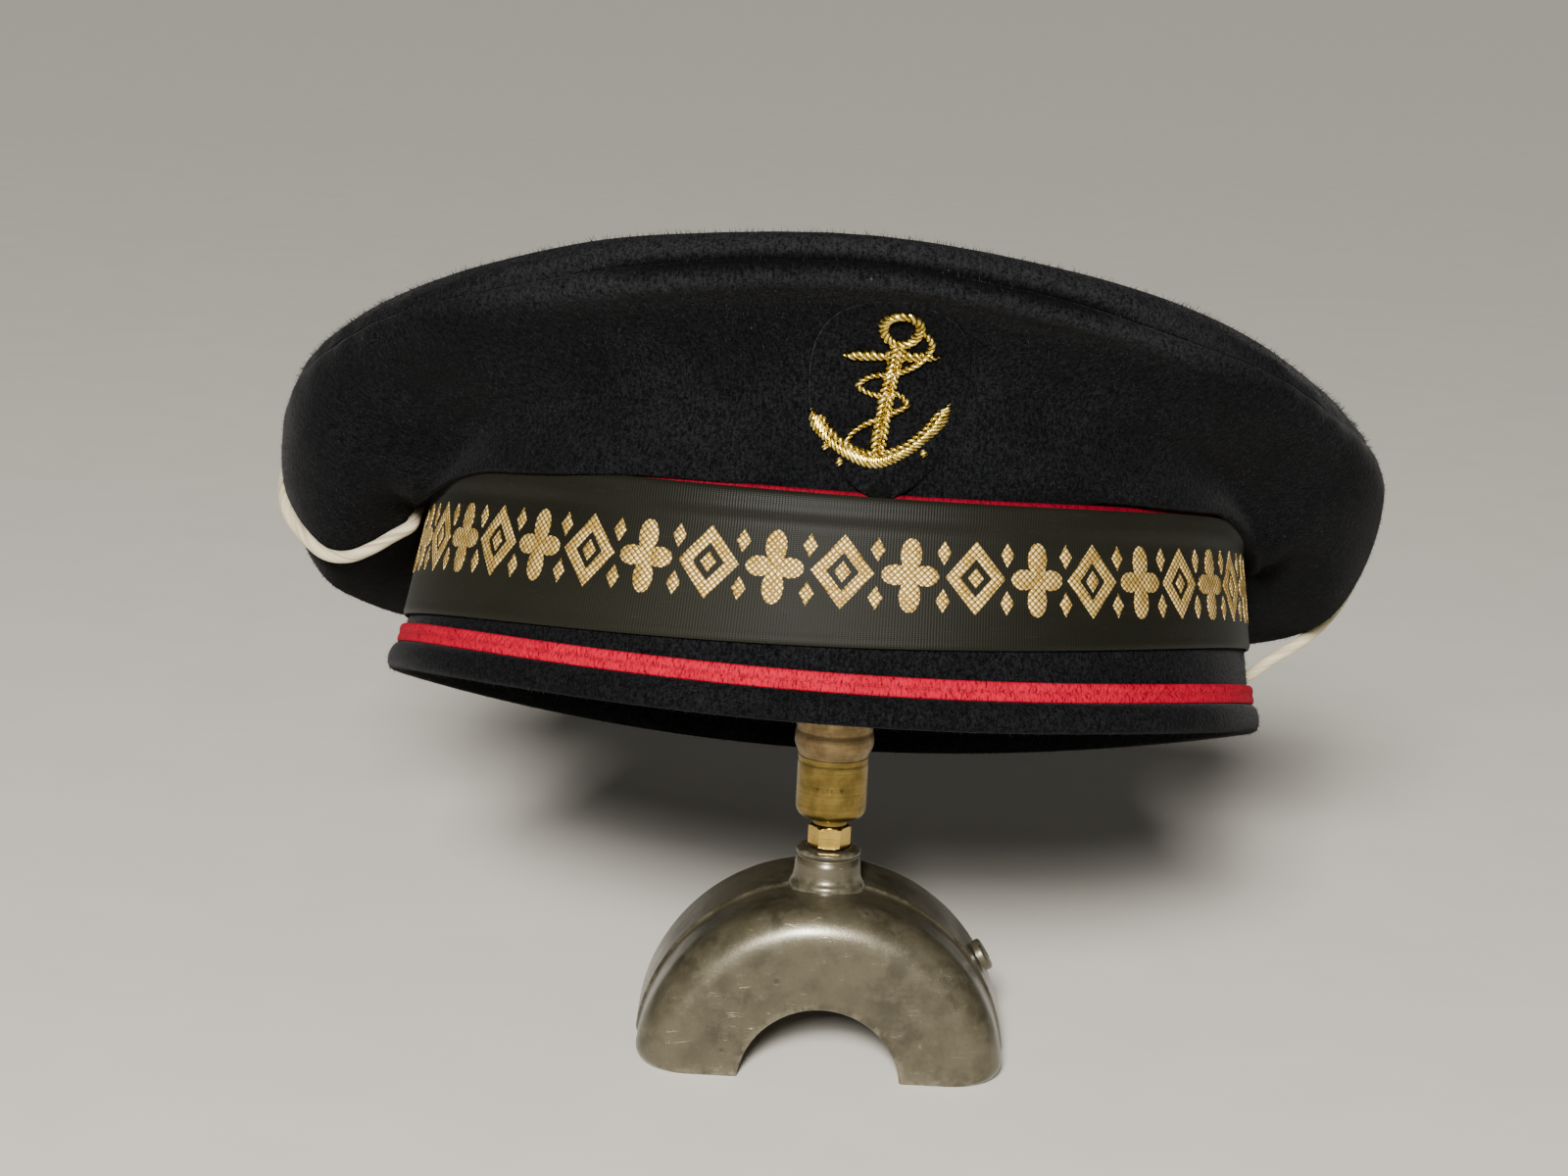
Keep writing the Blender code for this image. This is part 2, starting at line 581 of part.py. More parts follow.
def make_foot(model):
    """The cast foot: a half-round block over an arch, with the boss on top."""
    rings = []
    for y, radius in foot_stations():
        outside = foot_outline(radius)
        low = math.degrees(math.asin(FOOT_SINK / ARCH_RADIUS))
        inside = arc((0.0, -FOOT_SINK), ARCH_RADIUS, 180 - low, low, len(outside) - 1)
        rings.append([Vector((x, y, max(z, 0.0))) for x, z in outside + inside])
    bm = bmesh.new()
    loops = [[bm.verts.new(point) for point in ring] for ring in rings]
    count = len(loops[0])
    for low, high in zip(loops, loops[1:]):
        for i in range(count):
            j = (i + 1) % count
            bm.faces.new((low[i], low[j], high[j], high[i]))
    for loop in (loops[0], loops[-1]):
        for i in range(count // 2 - 1):
            bm.faces.new((loop[i], loop[i + 1], loop[count - 2 - i], loop[count - 1 - i]))
    bmesh.ops.recalc_face_normals(bm, faces=bm.faces)
    foot = bpy.data.meshes.new("stand_base")
    bm.to_mesh(foot)
    bm.free()
    top = FOOT_RADIUS - FOOT_SINK
    flare = BOSS_RADIUS + BOSS_FLARE
    profile = [
        (flare, top - 4 * BOSS_FLARE), (flare, top + 0.08 * BOSS_HEIGHT), (BOSS_RADIUS, top + 0.3 * BOSS_HEIGHT),
        (BOSS_RADIUS, top + 0.7 * BOSS_HEIGHT), (BOSS_RADIUS - BOSS_FLARE, top + 0.85 * BOSS_HEIGHT),
        (BOSS_RADIUS - BOSS_FLARE, BOSS_TOP),
    ]
    boss = stack_mesh("boss", turned_rings(profile, 24))
    add_object("stand_base", union("stand_base", [foot, boss]), "cast", model, 30)


def make_screw(model):
    """The side screw's head, square on the foot's right shoulder."""
    rim = 0.15 * SCREW_HEIGHT
    profile = [
        (SCREW_RADIUS, 0.0), (SCREW_RADIUS, SCREW_HEIGHT - rim), (SCREW_RADIUS - rim, SCREW_HEIGHT),
    ]
    place = Matrix.Translation((0, SCREW_BACK, -FOOT_SINK)) @ Matrix.Rotation(math.pi / 2 - SCREW_ANGLE, 4, "Y")
    place = place @ Matrix.Translation((0, 0, FOOT_RADIUS + GAP))
    rings = [[place @ point for point in ring] for ring in turned_rings(profile, 20)]
    add_object("side_screw", stack_mesh("side_screw", rings), "aged", model, 30)


def make_stem(model):
    """The nut, the socket and the ring, stacked on the boss."""
    corner = NUT_FLATS / math.sqrt(3)
    rim = 0.12 * NUT_HEIGHT
    nut = [
        (corner - rim, NUT_BOTTOM), (corner, NUT_BOTTOM + rim), (corner, NUT_BOTTOM + NUT_HEIGHT - rim),
        (corner - rim, NUT_BOTTOM + NUT_HEIGHT),
    ]
    add_object("hex_nut", stack_mesh("hex_nut", turned_rings(nut, 6)), "brass", model)
    centre = (SOCKET_RADIUS - SOCKET_ROUND, SOCKET_BOTTOM + SOCKET_ROUND)
    socket = [(NECK_RADIUS, NECK_BOTTOM), (NECK_RADIUS, SOCKET_BOTTOM)]
    socket += arc(centre, SOCKET_ROUND, -90, 0, 4)
    socket.append((SOCKET_RADIUS, SOCKET_BOTTOM + SOCKET_HEIGHT))
    add_object("stem_socket", stack_mesh("stem_socket", turned_rings(socket, 24)), "aged", model, 30)
    step = 0.05 * RING_HEIGHT
    middle = RING_BOTTOM + RING_HEIGHT / 2
    ring = [
        (SOCKET_RADIUS, RING_BOTTOM), (RING_RADIUS, RING_BOTTOM + RING_FLARE), (RING_RADIUS, middle - step),
        (RING_RADIUS - step, middle), (RING_RADIUS - step, RING_TOP),
    ]
    add_object("socket_ring", stack_mesh("socket_ring", turned_rings(ring, 24)), "aged", model, 30)


def make_post(model, cap):
    """The hidden post and its pad, which follows the crown's top from inside."""
    crown = next(item for item in cap.children if item.name == "crown_top")
    places = [crown.matrix_world @ vertex.co for vertex in crown.data.vertices]
    tree = BVHTree.FromPolygons(places, [list(face.vertices) for face in crown.data.polygons])

    def ceiling(x, y):
        """Height of the pad's top at a place."""
        hit = tree.ray_cast(Vector((x, y, RING_TOP)), Vector((0, 0, 1)))[0]
        return hit.z - 1.5 * GAP

    layers = [
        (POST_RADIUS, PAD_THICKNESS * 1.6), (PAD_RADIUS, PAD_THICKNESS), (PAD_RADIUS, 0.0),
        (PAD_RADIUS * 0.55, 0.0), (PAD_RADIUS * 0.12, 0.0),
    ]
    rings = turned_rings([(POST_RADIUS, RING_TOP + GAP)], 24)
    for radius, drop in layers:
        ring = turned_rings([(radius, 0.0)], 24)[0]
        rings.append([Vector((p.x, p.y, ceiling(p.x, p.y) - drop)) for p in ring])
    add_object("holder_post", stack_mesh("holder_post", rings), "wood", model, 40)


def centre_model(model):
    """Moves the model so that its bounding box stands on the origin. The cord isn't measured."""
    bpy.context.view_layer.update()
    places = [
        item.matrix_world @ vertex.co
        for item in bpy.data.objects if item.type == "MESH"
        for vertex in item.data.vertices
    ]
    low = Vector([min(p[i] for p in places) for i in range(3)])
    high = Vector([max(p[i] for p in places) for i in range(3)])
    model.location = (-(low.x + high.x) / 2, -(low.y + high.y) / 2, -low.z)


def main():
    """Builds the stand and the cap and puts the origin under their middle."""
    for old in list(bpy.data.objects):
        bpy.data.objects.remove(old)
    model = bpy.data.objects.new("model", None)
    cap = bpy.data.objects.new("cap_frame", None)
    for frame in (model, cap):
        bpy.context.scene.collection.objects.link(frame)
    cap.parent = model
    cap.rotation_euler = (-CAP_TILT, CAP_ROLL, 0)
    cap.location = (*CAP_SHIFT, RING_TOP - RIM_BELOW_RING_TOP)
    make_band(cap)
    make_braids(cap)
    ring_piece("tally_ribbon", ribbon_profile, "ribbon", cap)
    make_crown_side(cap)
    make_crown_top(cap)
    make_patch(cap)
    make_anchor(cap)
    make_cord(cap)
    bpy.context.view_layer.update()
    make_foot(model)
    make_screw(model)
    make_stem(model)
    make_post(model, cap)
    centre_model(model)


main()
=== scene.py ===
"""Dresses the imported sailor's cap and its stand: felt, braid, ribbon, bullion, cord and metal.

Everything is in metres. The cap's pieces are made in the cap's own frame (origin in the middle of the
rim, X across the ears, -Y the front) and moved onto the stand as their meshes are finished. A place on
the cap is an azimuth, which is 0 at the front and grows towards +X, and a section: how far out and how
far up from the band's top edge.
"""

import logging
import math
from dataclasses import dataclass
from enum import Enum
from typing import Sequence

import bmesh
import bpy
import numpy as np
from mathutils import Euler, Matrix, Vector, noise

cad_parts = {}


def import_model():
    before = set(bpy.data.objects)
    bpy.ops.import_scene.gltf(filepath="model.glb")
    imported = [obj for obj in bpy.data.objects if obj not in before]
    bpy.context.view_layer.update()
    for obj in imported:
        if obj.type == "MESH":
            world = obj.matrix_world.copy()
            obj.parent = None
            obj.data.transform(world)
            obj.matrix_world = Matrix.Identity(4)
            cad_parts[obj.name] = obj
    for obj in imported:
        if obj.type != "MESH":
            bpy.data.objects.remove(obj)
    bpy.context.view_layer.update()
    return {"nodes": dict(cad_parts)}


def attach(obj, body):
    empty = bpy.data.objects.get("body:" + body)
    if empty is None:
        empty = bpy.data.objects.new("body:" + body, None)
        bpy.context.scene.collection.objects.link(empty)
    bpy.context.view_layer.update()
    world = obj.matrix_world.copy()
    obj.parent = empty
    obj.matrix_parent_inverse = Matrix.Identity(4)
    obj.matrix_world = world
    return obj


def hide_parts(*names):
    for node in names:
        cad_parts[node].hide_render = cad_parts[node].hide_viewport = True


LOG = logging.getLogger("sailor_cap")
MM = 0.001
TURN = 2 * math.pi
BODY = "root"
BMesh = bmesh.types.BMesh
Material = bpy.types.Material
Socket = bpy.types.NodeSocket


class Slot(Enum):
    """Names for material slots; no piece in this script is given one."""

    WOOL = "wool"
    BRAID = "braid"
    RIBBON = "ribbon"
    GOLD = "gold"
    COTTON = "cotton"
    CAST = "cast"
    BRASS = "brass"
    AGED = "aged"


# Finishes


class Recipe:
    """One material's nodes, joined to its Principled shader."""

    def __init__(self, name: str, roughness: float, metallic: float = 0.0, **sockets: float) -> None:
        """Starts a material.

        Args:
            name: the material's name.
            roughness: roughness where nothing else is joined to it.
            metallic: 0 for cloth and 1 for bare metal.
            sockets: further uniform values, with a socket's words joined by underscores.
        """
        self.material = bpy.data.materials.new(name)
        self.material.use_nodes = True
        self.tree = self.material.node_tree
        self.shader = self.tree.nodes["Principled BSDF"]
        self.shader.inputs["Roughness"].default_value = roughness
        self.shader.inputs["Metallic"].default_value = metallic
        for words, value in sockets.items():
            self.shader.inputs[words.replace("_", " ")].default_value = value
        place = self.add("ShaderNodeTexCoord")
        self.body = place.outputs["Object"]
        self.cloth = place.outputs["UV"]

    def add(self, kind: str, inputs: dict | None = None, **settings: object) -> bpy.types.Node:
        """Adds a node.

        Args:
            kind: the node's type name.
            inputs: values or sockets for its inputs, by name or number.
            settings: the node's own settings.

        Returns:
            The new node.
        """
        node = self.tree.nodes.new(kind)
        for key, value in settings.items():
            setattr(node, key, value)
        for key, value in (inputs or {}).items():
            if isinstance(value, Socket):
                self.tree.links.new(value, node.inputs[key])
            else:
                node.inputs[key].default_value = value
        return node

    def math(self, operation: str, a: object, b: object = 0.0) -> Socket:
        """What a named rule makes of two values."""
        return self.add("ShaderNodeMath", {0: a, 1: b}, operation=operation).outputs[0]

    def times(self, a: object, b: object) -> Socket:
        """The product of two values."""
        return self.math("MULTIPLY", a, b)

    def plus(self, a: object, b: object) -> Socket:
        """The sum of two values."""
        return self.math("ADD", a, b)

    def noise(self, place: object, scale: float, detail: float = 2.0, roughness: float = 0.5) -> Socket:
        """Soft noise from 0 to 1, with scale features a metre."""
        inputs = {"Vector": place, "Scale": scale, "Detail": detail, "Roughness": roughness}
        return self.add("ShaderNodeTexNoise", inputs).outputs[0]

    def specks(self, place: object, scale: float, edge: tuple, chosen: tuple) -> Socket:
        """Scattered round specks.

        Args:
            place: where the pattern lies.
            scale: how many cells it has in a metre. Each holds one speck or none.
            edge: a speck's size, as the distances in a cell where it begins and where it is full.
            chosen: the share of cells that hold none, as the values between which a speck appears.

        Returns:
            1 on a speck and 0 beside it.
        """
        cell = self.add("ShaderNodeTexVoronoi", {"Vector": place, "Scale": scale})
        lot = self.add("ShaderNodeSeparateColor", {0: cell.outputs["Color"]})
        return self.times(self.level(cell.outputs["Distance"], *edge), self.level(lot.outputs[0], *chosen))

    def stretch(self, place: object, scale: Sequence[float], turn: Sequence[float] = (0, 0, 0)) -> Socket:
        """A place stretched and turned, for a pattern with a direction."""
        inputs = {"Vector": place, "Scale": scale, "Rotation": turn}
        return self.add("ShaderNodeMapping", inputs).outputs[0]

    def level(self, value: object, low: float, high: float, bottom: float = 0.0, top: float = 1.0) -> Socket:
        """A smooth rise from bottom to top while the value goes from low to high."""
        inputs = {"Value": value, "From Min": low, "From Max": high, "To Min": bottom, "To Max": top}
        return self.add("ShaderNodeMapRange", inputs, interpolation_type="SMOOTHSTEP").outputs[0]

    def blend(self, share: object, low: object, high: object) -> Socket:
        """A colour between two colours."""
        a, b = ((*colour, 1.0) if isinstance(colour, tuple) else colour for colour in (low, high))
        return self.add("ShaderNodeMix", {0: share, 6: a, 7: b}, data_type="RGBA").outputs[2]

    def axis(self, place: object, number: int) -> Socket:
        """One coordinate of a place."""
        return self.add("ShaderNodeSeparateXYZ", {0: place}).outputs[number]

    def wave(self, place: object, pitch: float) -> Socket:
        """A sine from -1 to 1 that repeats every pitch."""
        return self.math("SINE", self.times(place, TURN / pitch))

    def bump(self, height: object, depth: float, strength: float = 1.0, under: object = None) -> Socket:
        """Relief of a depth in metres, laid over another relief where one is given."""
        inputs = {"Height": height, "Distance": depth, "Strength": strength}
        return self.add("ShaderNodeBump", inputs if under is None else inputs | {"Normal": under}).outputs[0]

    def finish(self, colour: object, relief: object, roughness: object = None) -> Material:
        """Joins the finished pattern to the shader.

        Args:
            colour: the colour's socket.
            relief: the relief's socket, or None for a smooth face.
            roughness: the roughness's socket, or None where it is even.

        Returns:
            The material.
        """
        pairs = {"Base Color": colour, "Normal": relief, "Roughness": roughness}
        for name, socket in pairs.items():
            if socket is not None:
                self.tree.links.new(socket, self.shader.inputs[name])
        return self.material


@dataclass(frozen=True)
class Felt:
    """Thick fulled wool, brushed so that its nap runs up and down."""

    name: str = "navy_felt"
    dark: tuple = (0.0005, 0.0006, 0.0008)
    pale: tuple = (0.0088, 0.0092, 0.0105)
    # Paler felt beside the seam: painted light on the rolls there, with some rubbing.
    rubbed: tuple = (0.0165, 0.0170, 0.0186)
    lint: tuple = (0.055, 0.055, 0.055)

    def make(self) -> Material:
        """Builds the felt: fine fibres, brush marks, cloudy patches and a little lint.

        On the crown the second value of the flat place is the distance from its seam. There the felt is
        painted darker in the groove as shade, and paler beside it as painted light on the rolls, with some
        rubbing.

        Returns:
            The material.
        """
        r = Recipe(self.name, 1.0, Specular_IOR_Level=0.06, Sheen_Weight=0.035, Sheen_Roughness=0.3)
        fibre = r.noise(r.body, 2500, 3, 0.7)
        tuft = r.noise(r.body, 1300, 3, 0.65)
        cloud = r.noise(r.body, 55, 4, 0.6)
        comb = r.noise(r.stretch(r.cloth, (1700, 520, 1)), 1.0, 2, 0.6)
        mixed = r.plus(r.plus(r.times(fibre, 0.40), r.times(tuft, 0.36)), r.times(comb, 0.24))
        shade = r.level(mixed, 0.41, 0.62)
        colour = r.blend(shade, self.dark, self.pale)
        colour = r.blend(r.level(cloud, 0.35, 0.7, 0.0, 0.4), colour, self.dark)
        seam = r.axis(r.cloth, 1)
        # Painted light: the felt turns paler on the rolls either side of the groove, which also stands for
        # rubbing.
        beside = r.times(r.level(seam, 0.0018, 0.0036), r.level(seam, 0.0150, 0.0050))
        beside = r.times(beside, r.level(mixed, 0.34, 0.68, 0.0, 0.75))
        colour = r.blend(beside, colour, self.rubbed)
        # Painted shade: the felt is darkened into the seam's groove.
        colour = r.blend(r.level(seam, 0.0024, 0.0009, 0.0, 0.9), colour, self.dark)
        lint = r.specks(r.body, 310, (0.10, 0.045), (0.955, 0.96))
        colour = r.blend(r.times(lint, 0.55), colour, self.lint)
        relief = r.bump(tuft, 0.00030, 0.7)
        relief = r.bump(mixed, 0.00018, 0.9, relief)
        return r.finish(colour, relief)


@dataclass(frozen=True)
class NapFibre:
    """Single loose wool fibres, a little paler than the felt that they stand on."""

    name: str = "wool_nap"
    dark: tuple = (0.0030, 0.0031, 0.0036)
    pale: tuple = (0.0360, 0.0370, 0.0395)

    def make(self) -> Material:
        """Builds the fibres, with some patches paler than others.

        Returns:
            The material.
        """
        r = Recipe(self.name, 0.9, Specular_IOR_Level=0.15)
        single = r.level(r.noise(r.body, 520, 2), 0.35, 0.65)
        patch = r.level(r.noise(r.body, 60, 2), 0.3, 0.6, 0.4, 1.0)
        return r.finish(r.blend(r.times(single, patch), self.dark, self.pale), None)


@dataclass(frozen=True)
class RibbonWeave:
    """Fine ribbed silk, dull olive black, with a firm selvedge."""

    name: str = "ribbed_silk"
    dark: tuple = (0.0044, 0.0045, 0.0028)
    pale: tuple = (0.0103, 0.0100, 0.0058)
    knot: tuple = (0.0190, 0.0185, 0.0125)
    rib: float = 0.00062

    def make(self) -> Material:
        """Builds the weave: ribs across the ribbon, fine picks along it and slow shading.

        Returns:
            The material.
        """
        r = Recipe(self.name, 0.55, Specular_IOR_Level=0.12, Sheen_Weight=0.02, Sheen_Roughness=0.35)
        along, across = r.axis(r.cloth, 0), r.axis(r.cloth, 1)
        slub = r.noise(r.stretch(r.cloth, (160, 2400, 1)), 1.0, 2)
        ribs = r.wave(r.plus(along, r.times(slub, 0.00012)), self.rib)
        picks = r.wave(across, self.rib * 0.62)
        weave = r.plus(r.times(ribs, 0.7), r.times(picks, 0.3))
        slow = r.noise(r.stretch(r.cloth, (18, 60, 1)), 1.0, 2)
        share = r.plus(r.level(weave, -1.0, 1.0, 0.0, 0.50), r.level(slow, 0.3, 0.75, 0.0, 0.50))
        colour = r.blend(share, self.dark, self.pale)
        colour = r.blend(r.level(slub, 0.64, 0.74, 0.0, 0.35), colour, self.knot)
        relief = r.bump(weave, 0.00004, 0.6)
        return r.finish(colour, relief, r.level(slow, 0.3, 0.7, 0.46, 0.60))


@dataclass(frozen=True)
class GoldWeave:
    """Flat gold thread woven into the ribbon, seen as a fine slanting mesh."""

    name: str = "woven_gold"
    gap: tuple = (0.075, 0.036, 0.004)
    thread: tuple = (0.470, 0.298, 0.066)
    glint: tuple = (0.910, 0.690, 0.310)
    pitch: float = 0.0027

    def make(self) -> Material:
        """Builds the mesh: two sets of slanting threads over a darker ground, with painted glints on the
        threads in patches.

        Returns:
            The material.
        """
        r = Recipe(self.name, 0.42, 0.45, Specular_IOR_Level=0.5)
        along, across = r.axis(r.cloth, 0), r.axis(r.cloth, 1)
        jitter = r.times(r.noise(r.cloth, 900, 2), 0.00018)
        one = r.wave(r.plus(r.plus(along, across), jitter), self.pitch)
        two = r.wave(r.plus(r.math("SUBTRACT", along, across), jitter), self.pitch)
        mesh = r.math("ABSOLUTE", r.times(one, two))
        glint_patches = r.noise(r.body, 420, 3)
        colour = r.blend(r.level(mesh, 0.02, 0.34), self.gap, self.thread)
        # Painted highlight: glints on the raised threads, in patches that also set the roughness.
        bright = r.times(r.level(mesh, 0.30, 0.85), r.level(glint_patches, 0.36, 0.58))
        colour = r.blend(bright, colour, self.glint)
        relief = r.bump(mesh, 0.00018, 0.9)
        return r.finish(colour, relief, r.level(glint_patches, 0.3, 0.7, 0.34, 0.52))


@dataclass(frozen=True)
class Bullion:
    """Gold wire wound round a core. Its turns are in the mesh; this face paints shade into the hollows
    between them and glints on their crests.
    """

    name: str = "gold_wire"
    deep: tuple = (0.046, 0.031, 0.002)
    gold: tuple = (0.640, 0.455, 0.068)
    glint: tuple = (1.000, 0.900, 0.500)

    def make(self) -> Material:
        """Builds the wire: a painted glint on the crest of each turn, painted shade in the hollow between
        two turns, and dull darker patches.

        Returns:
            The material.
        """
        r = Recipe(self.name, 0.24, 1.0)
        fine = r.noise(r.body, 3800, 2)
        dull = r.noise(r.body, 700, 3)
        turns = r.math("ABSOLUTE", r.wave(r.plus(r.axis(r.cloth, 0), 0.5), 2.0))
        # Painted shade: darker towards the hollow between two turns.
        colour = r.blend(r.level(turns, 0.05, 0.75), self.deep, self.gold)
        # Painted highlight: a glint on each turn's crest.
        crest = r.times(r.level(turns, 0.8, 1.0), r.level(dull, 0.45, 0.6))
        colour = r.blend(crest, colour, self.glint)
        colour = r.blend(r.level(dull, 0.42, 0.30, 0.0, 0.55), colour, self.deep)
        return r.finish(colour, r.bump(fine, 0.00005, 0.7), r.level(dull, 0.3, 0.7, 0.16, 0.40))


@dataclass(frozen=True)
class BraidYarn:
    """Bright red worsted yarn in a flat plait."""

    name: str = "red_yarn"
    deep: tuple = (0.060, 0.000, 0.002)
    red: tuple = (0.395, 0.0004, 0.020)
    pale: tuple = (0.520, 0.004, 0.042)

    def make(self) -> Material:
        """Builds the yarn: slanting fibres, a few pale ones and dark hollows.

        Returns:
            The material.
        """
        r = Recipe(self.name, 0.72, Specular_IOR_Level=0.08, Sheen_Weight=0.02, Sheen_Roughness=0.4)
        r.shader.inputs["Sheen Tint"].default_value = (1.0, 0.25, 0.32, 1.0)
        slant = r.stretch(r.cloth, (2600, 700, 1), (0, 0, 0.6))
        fibre = r.noise(slant, 1.0, 3, 0.6)
        cloud = r.noise(r.body, 160, 2)
        colour = r.blend(r.level(fibre, 0.28, 0.56), self.deep, self.red)
        colour = r.blend(r.level(fibre, 0.60, 0.74, 0.0, 0.55), colour, self.pale)
        colour = r.blend(r.level(cloud, 0.4, 0.75, 0.0, 0.22), colour, self.deep)
        return r.finish(colour, r.bump(fibre, 0.00012, 0.8))


@dataclass(frozen=True)
class Thread:
    """Plain sewing thread, for stitches."""

    name: str
    dark: tuple
    pale: tuple

    def make(self) -> Material:
        """Builds the thread with its twist.

        Returns:
            The material.
        """
        r = Recipe(self.name, 0.7, Specular_IOR_Level=0.3)
        twist = r.noise(r.body, 3000, 2)
        return r.finish(r.blend(twist, self.dark, self.pale), r.bump(twist, 0.00005))


@dataclass(frozen=True)
class CottonCord:
    """Twisted white cotton, a little yellowed and soiled."""

    name: str = "white_cotton"
    dark: tuple = (0.210, 0.168, 0.090)
    pale: tuple = (0.520, 0.455, 0.300)

    def make(self) -> Material:
        """Builds the cord: fine slanting threads, hollows between the plies and faint soiling.

        Returns:
            The material.
        """
        r = Recipe(self.name, 0.85, Specular_IOR_Level=0.2, Sheen_Weight=0.2, Sheen_Roughness=0.5)
        fibre = r.noise(r.stretch(r.cloth, (30, 900, 1)), 1.0, 3, 0.6)
        soil = r.noise(r.body, 70, 3)
        colour = r.blend(r.level(fibre, 0.25, 0.58), self.dark, self.pale)
        colour = r.blend(r.level(soil, 0.5, 0.8, 0.0, 0.35), colour, self.dark)
        return r.finish(colour, r.bump(fibre, 0.00014, 0.8))


@dataclass(frozen=True)
class CastMetal:
    """Old dull cast metal, grey brown, rubbed bright on its edges, scratched and pitted."""

    name: str = "dull_casting"
    stain: tuple = (0.034, 0.028, 0.015)
    body: tuple = (0.098, 0.085, 0.052)
    rubbed: tuple = (0.230, 0.206, 0.142)

    def make(self) -> Material:
        """Builds the metal. The mesh's wear attribute is 1 where hands and floors rub it.

        Returns:
            The material.
        """
        r = Recipe(self.name, 0.40, 0.52, Specular_IOR_Level=0.5, Coat_Weight=0.45, Coat_Roughness=0.22)
        wear = r.add("ShaderNodeAttribute", attribute_name="wear").outputs["Fac"]
        cloud = r.noise(r.body, 75, 4, 0.6)
        grime = r.noise(r.body, 210, 4, 0.65)
        grain = r.noise(r.body, 1900, 3, 0.6)
        colour = r.blend(r.level(cloud, 0.30, 0.70), self.stain, self.body)
        colour = r.blend(r.level(grime, 0.40, 0.60, 0.15, 0.65), colour, self.body)
        scratches = None
        for turn, scale in ((0.75, 34.0), (-0.95, 46.0), (1.45, 30.0)):
            stretched = r.stretch(r.body, (scale * 0.6, scale * 2, scale * 8), (0.3, turn, 0.2))
            lined = r.noise(stretched, 1.0, 2)
            line = r.level(r.math("ABSOLUTE", r.math("SUBTRACT", lined, 0.5)), 0.004, 0.0)
            scratches = line if scratches is None else r.math("MAXIMUM", scratches, line)
        scratches = r.times(scratches, r.level(grime, 0.52, 0.66))
        pit = r.specks(r.body, 260, (0.24, 0.10), (0.93, 0.95))
        nick = r.noise(r.stretch(r.body, (900, 900, 1900), (0.2, 0.35, 0.0)), 1.0, 3, 0.6)
        nicked = r.times(r.level(nick, 0.69, 0.75), r.level(grime, 0.47, 0.58))
        pit = r.math("MAXIMUM", pit, nicked)
        edge = r.times(wear, r.level(grime, 0.42, 0.62))
        colour = r.blend(r.times(scratches, 0.55), colour, self.rubbed)
        colour = r.blend(edge, colour, self.rubbed)
        colour = r.blend(r.times(pit, 0.8), colour, self.stain)
        rough = r.plus(r.level(cloud, 0.3, 0.7, 0.42, 0.29), r.level(grain, 0.3, 0.7, -0.03, 0.05))
        rough = r.plus(rough, r.times(pit, 0.25))
        relief = r.bump(r.plus(grain, r.times(grime, 1.4)), 0.00006, 0.45)
        hollow = r.plus(r.times(pit, 1.0), r.times(scratches, 0.35))
        relief = r.bump(r.math("SUBTRACT", 1.0, hollow), 0.00012, 0.6, relief)
        return r.finish(colour, relief, rough)


@dataclass(frozen=True)
class TurnedBrass:
    """Brass off the lathe, bright or aged, with fine rings and stains."""

    name: str
    stain: tuple
    brass: tuple
    bright: tuple
    rough: tuple
    stained: float = 0.5

    def make(self) -> Material:
        """Builds the brass.

        Returns:
            The material.
        """
        r = Recipe(self.name, self.rough[0], 1.0)
        rings = r.noise(r.stretch(r.body, (20, 20, 5200)), 1.0, 2)
        cloud = r.noise(r.body, 240, 4, 0.62)
        spots = r.noise(r.body, 1100, 3, 0.6)
        colour = r.blend(r.level(rings, 0.3, 0.7), self.brass, self.bright)
        patch = r.level(r.plus(cloud, r.times(spots, 0.25)), 0.76, 0.48, 0.0, self.stained)
        colour = r.blend(patch, colour, self.stain)
        rough = r.level(cloud, 0.3, 0.7, self.rough[1], self.rough[0])
        rough = r.plus(rough, r.level(rings, 0.3, 0.7, 0, 0.05))
        return r.finish(colour, r.bump(r.plus(rings, spots), 0.00004, 0.35), rough)


@dataclass(frozen=True)
class TurnedWood:
    """Plain brown wood for the hidden post."""

    name: str = "plain_wood"
    dark: tuple = (0.090, 0.048, 0.022)
    pale: tuple = (0.300, 0.185, 0.095)

    def make(self) -> Material:
        """Builds the wood: long grain and pores.

        Returns:
            The material.
        """
        r = Recipe(self.name, 0.55, Specular_IOR_Level=0.35)
        grain = r.noise(r.stretch(r.body, (260, 260, 22)), 1.0, 4, 0.6)
        pores = r.noise(r.stretch(r.body, (1800, 1800, 130)), 1.0, 2)
        colour = r.blend(r.level(grain, 0.3, 0.7), self.dark, self.pale)
        colour = r.blend(r.level(pores, 0.36, 0.28, 0.0, 0.6), colour, self.dark)
        return r.finish(colour, r.bump(pores, 0.00008, 0.5))


@dataclass(frozen=True)
class TableCloth:
    """The plain pale floor."""

    name: str = "pale_floor"
    dark: tuple = (0.690, 0.662, 0.590)
    pale: tuple = (0.770, 0.740, 0.664)

    def make(self) -> Material:
        """Builds the floor's faint mottling.

        Returns:
            The material.
        """
        r = Recipe(self.name, 0.95, Specular_IOR_Level=0.1)
        colour = r.blend(r.noise(r.body, 30, 4, 0.6), self.dark, self.pale)
        return r.finish(colour, r.bump(r.noise(r.body, 900, 3), 0.0001, 0.3))


# Mesh tools


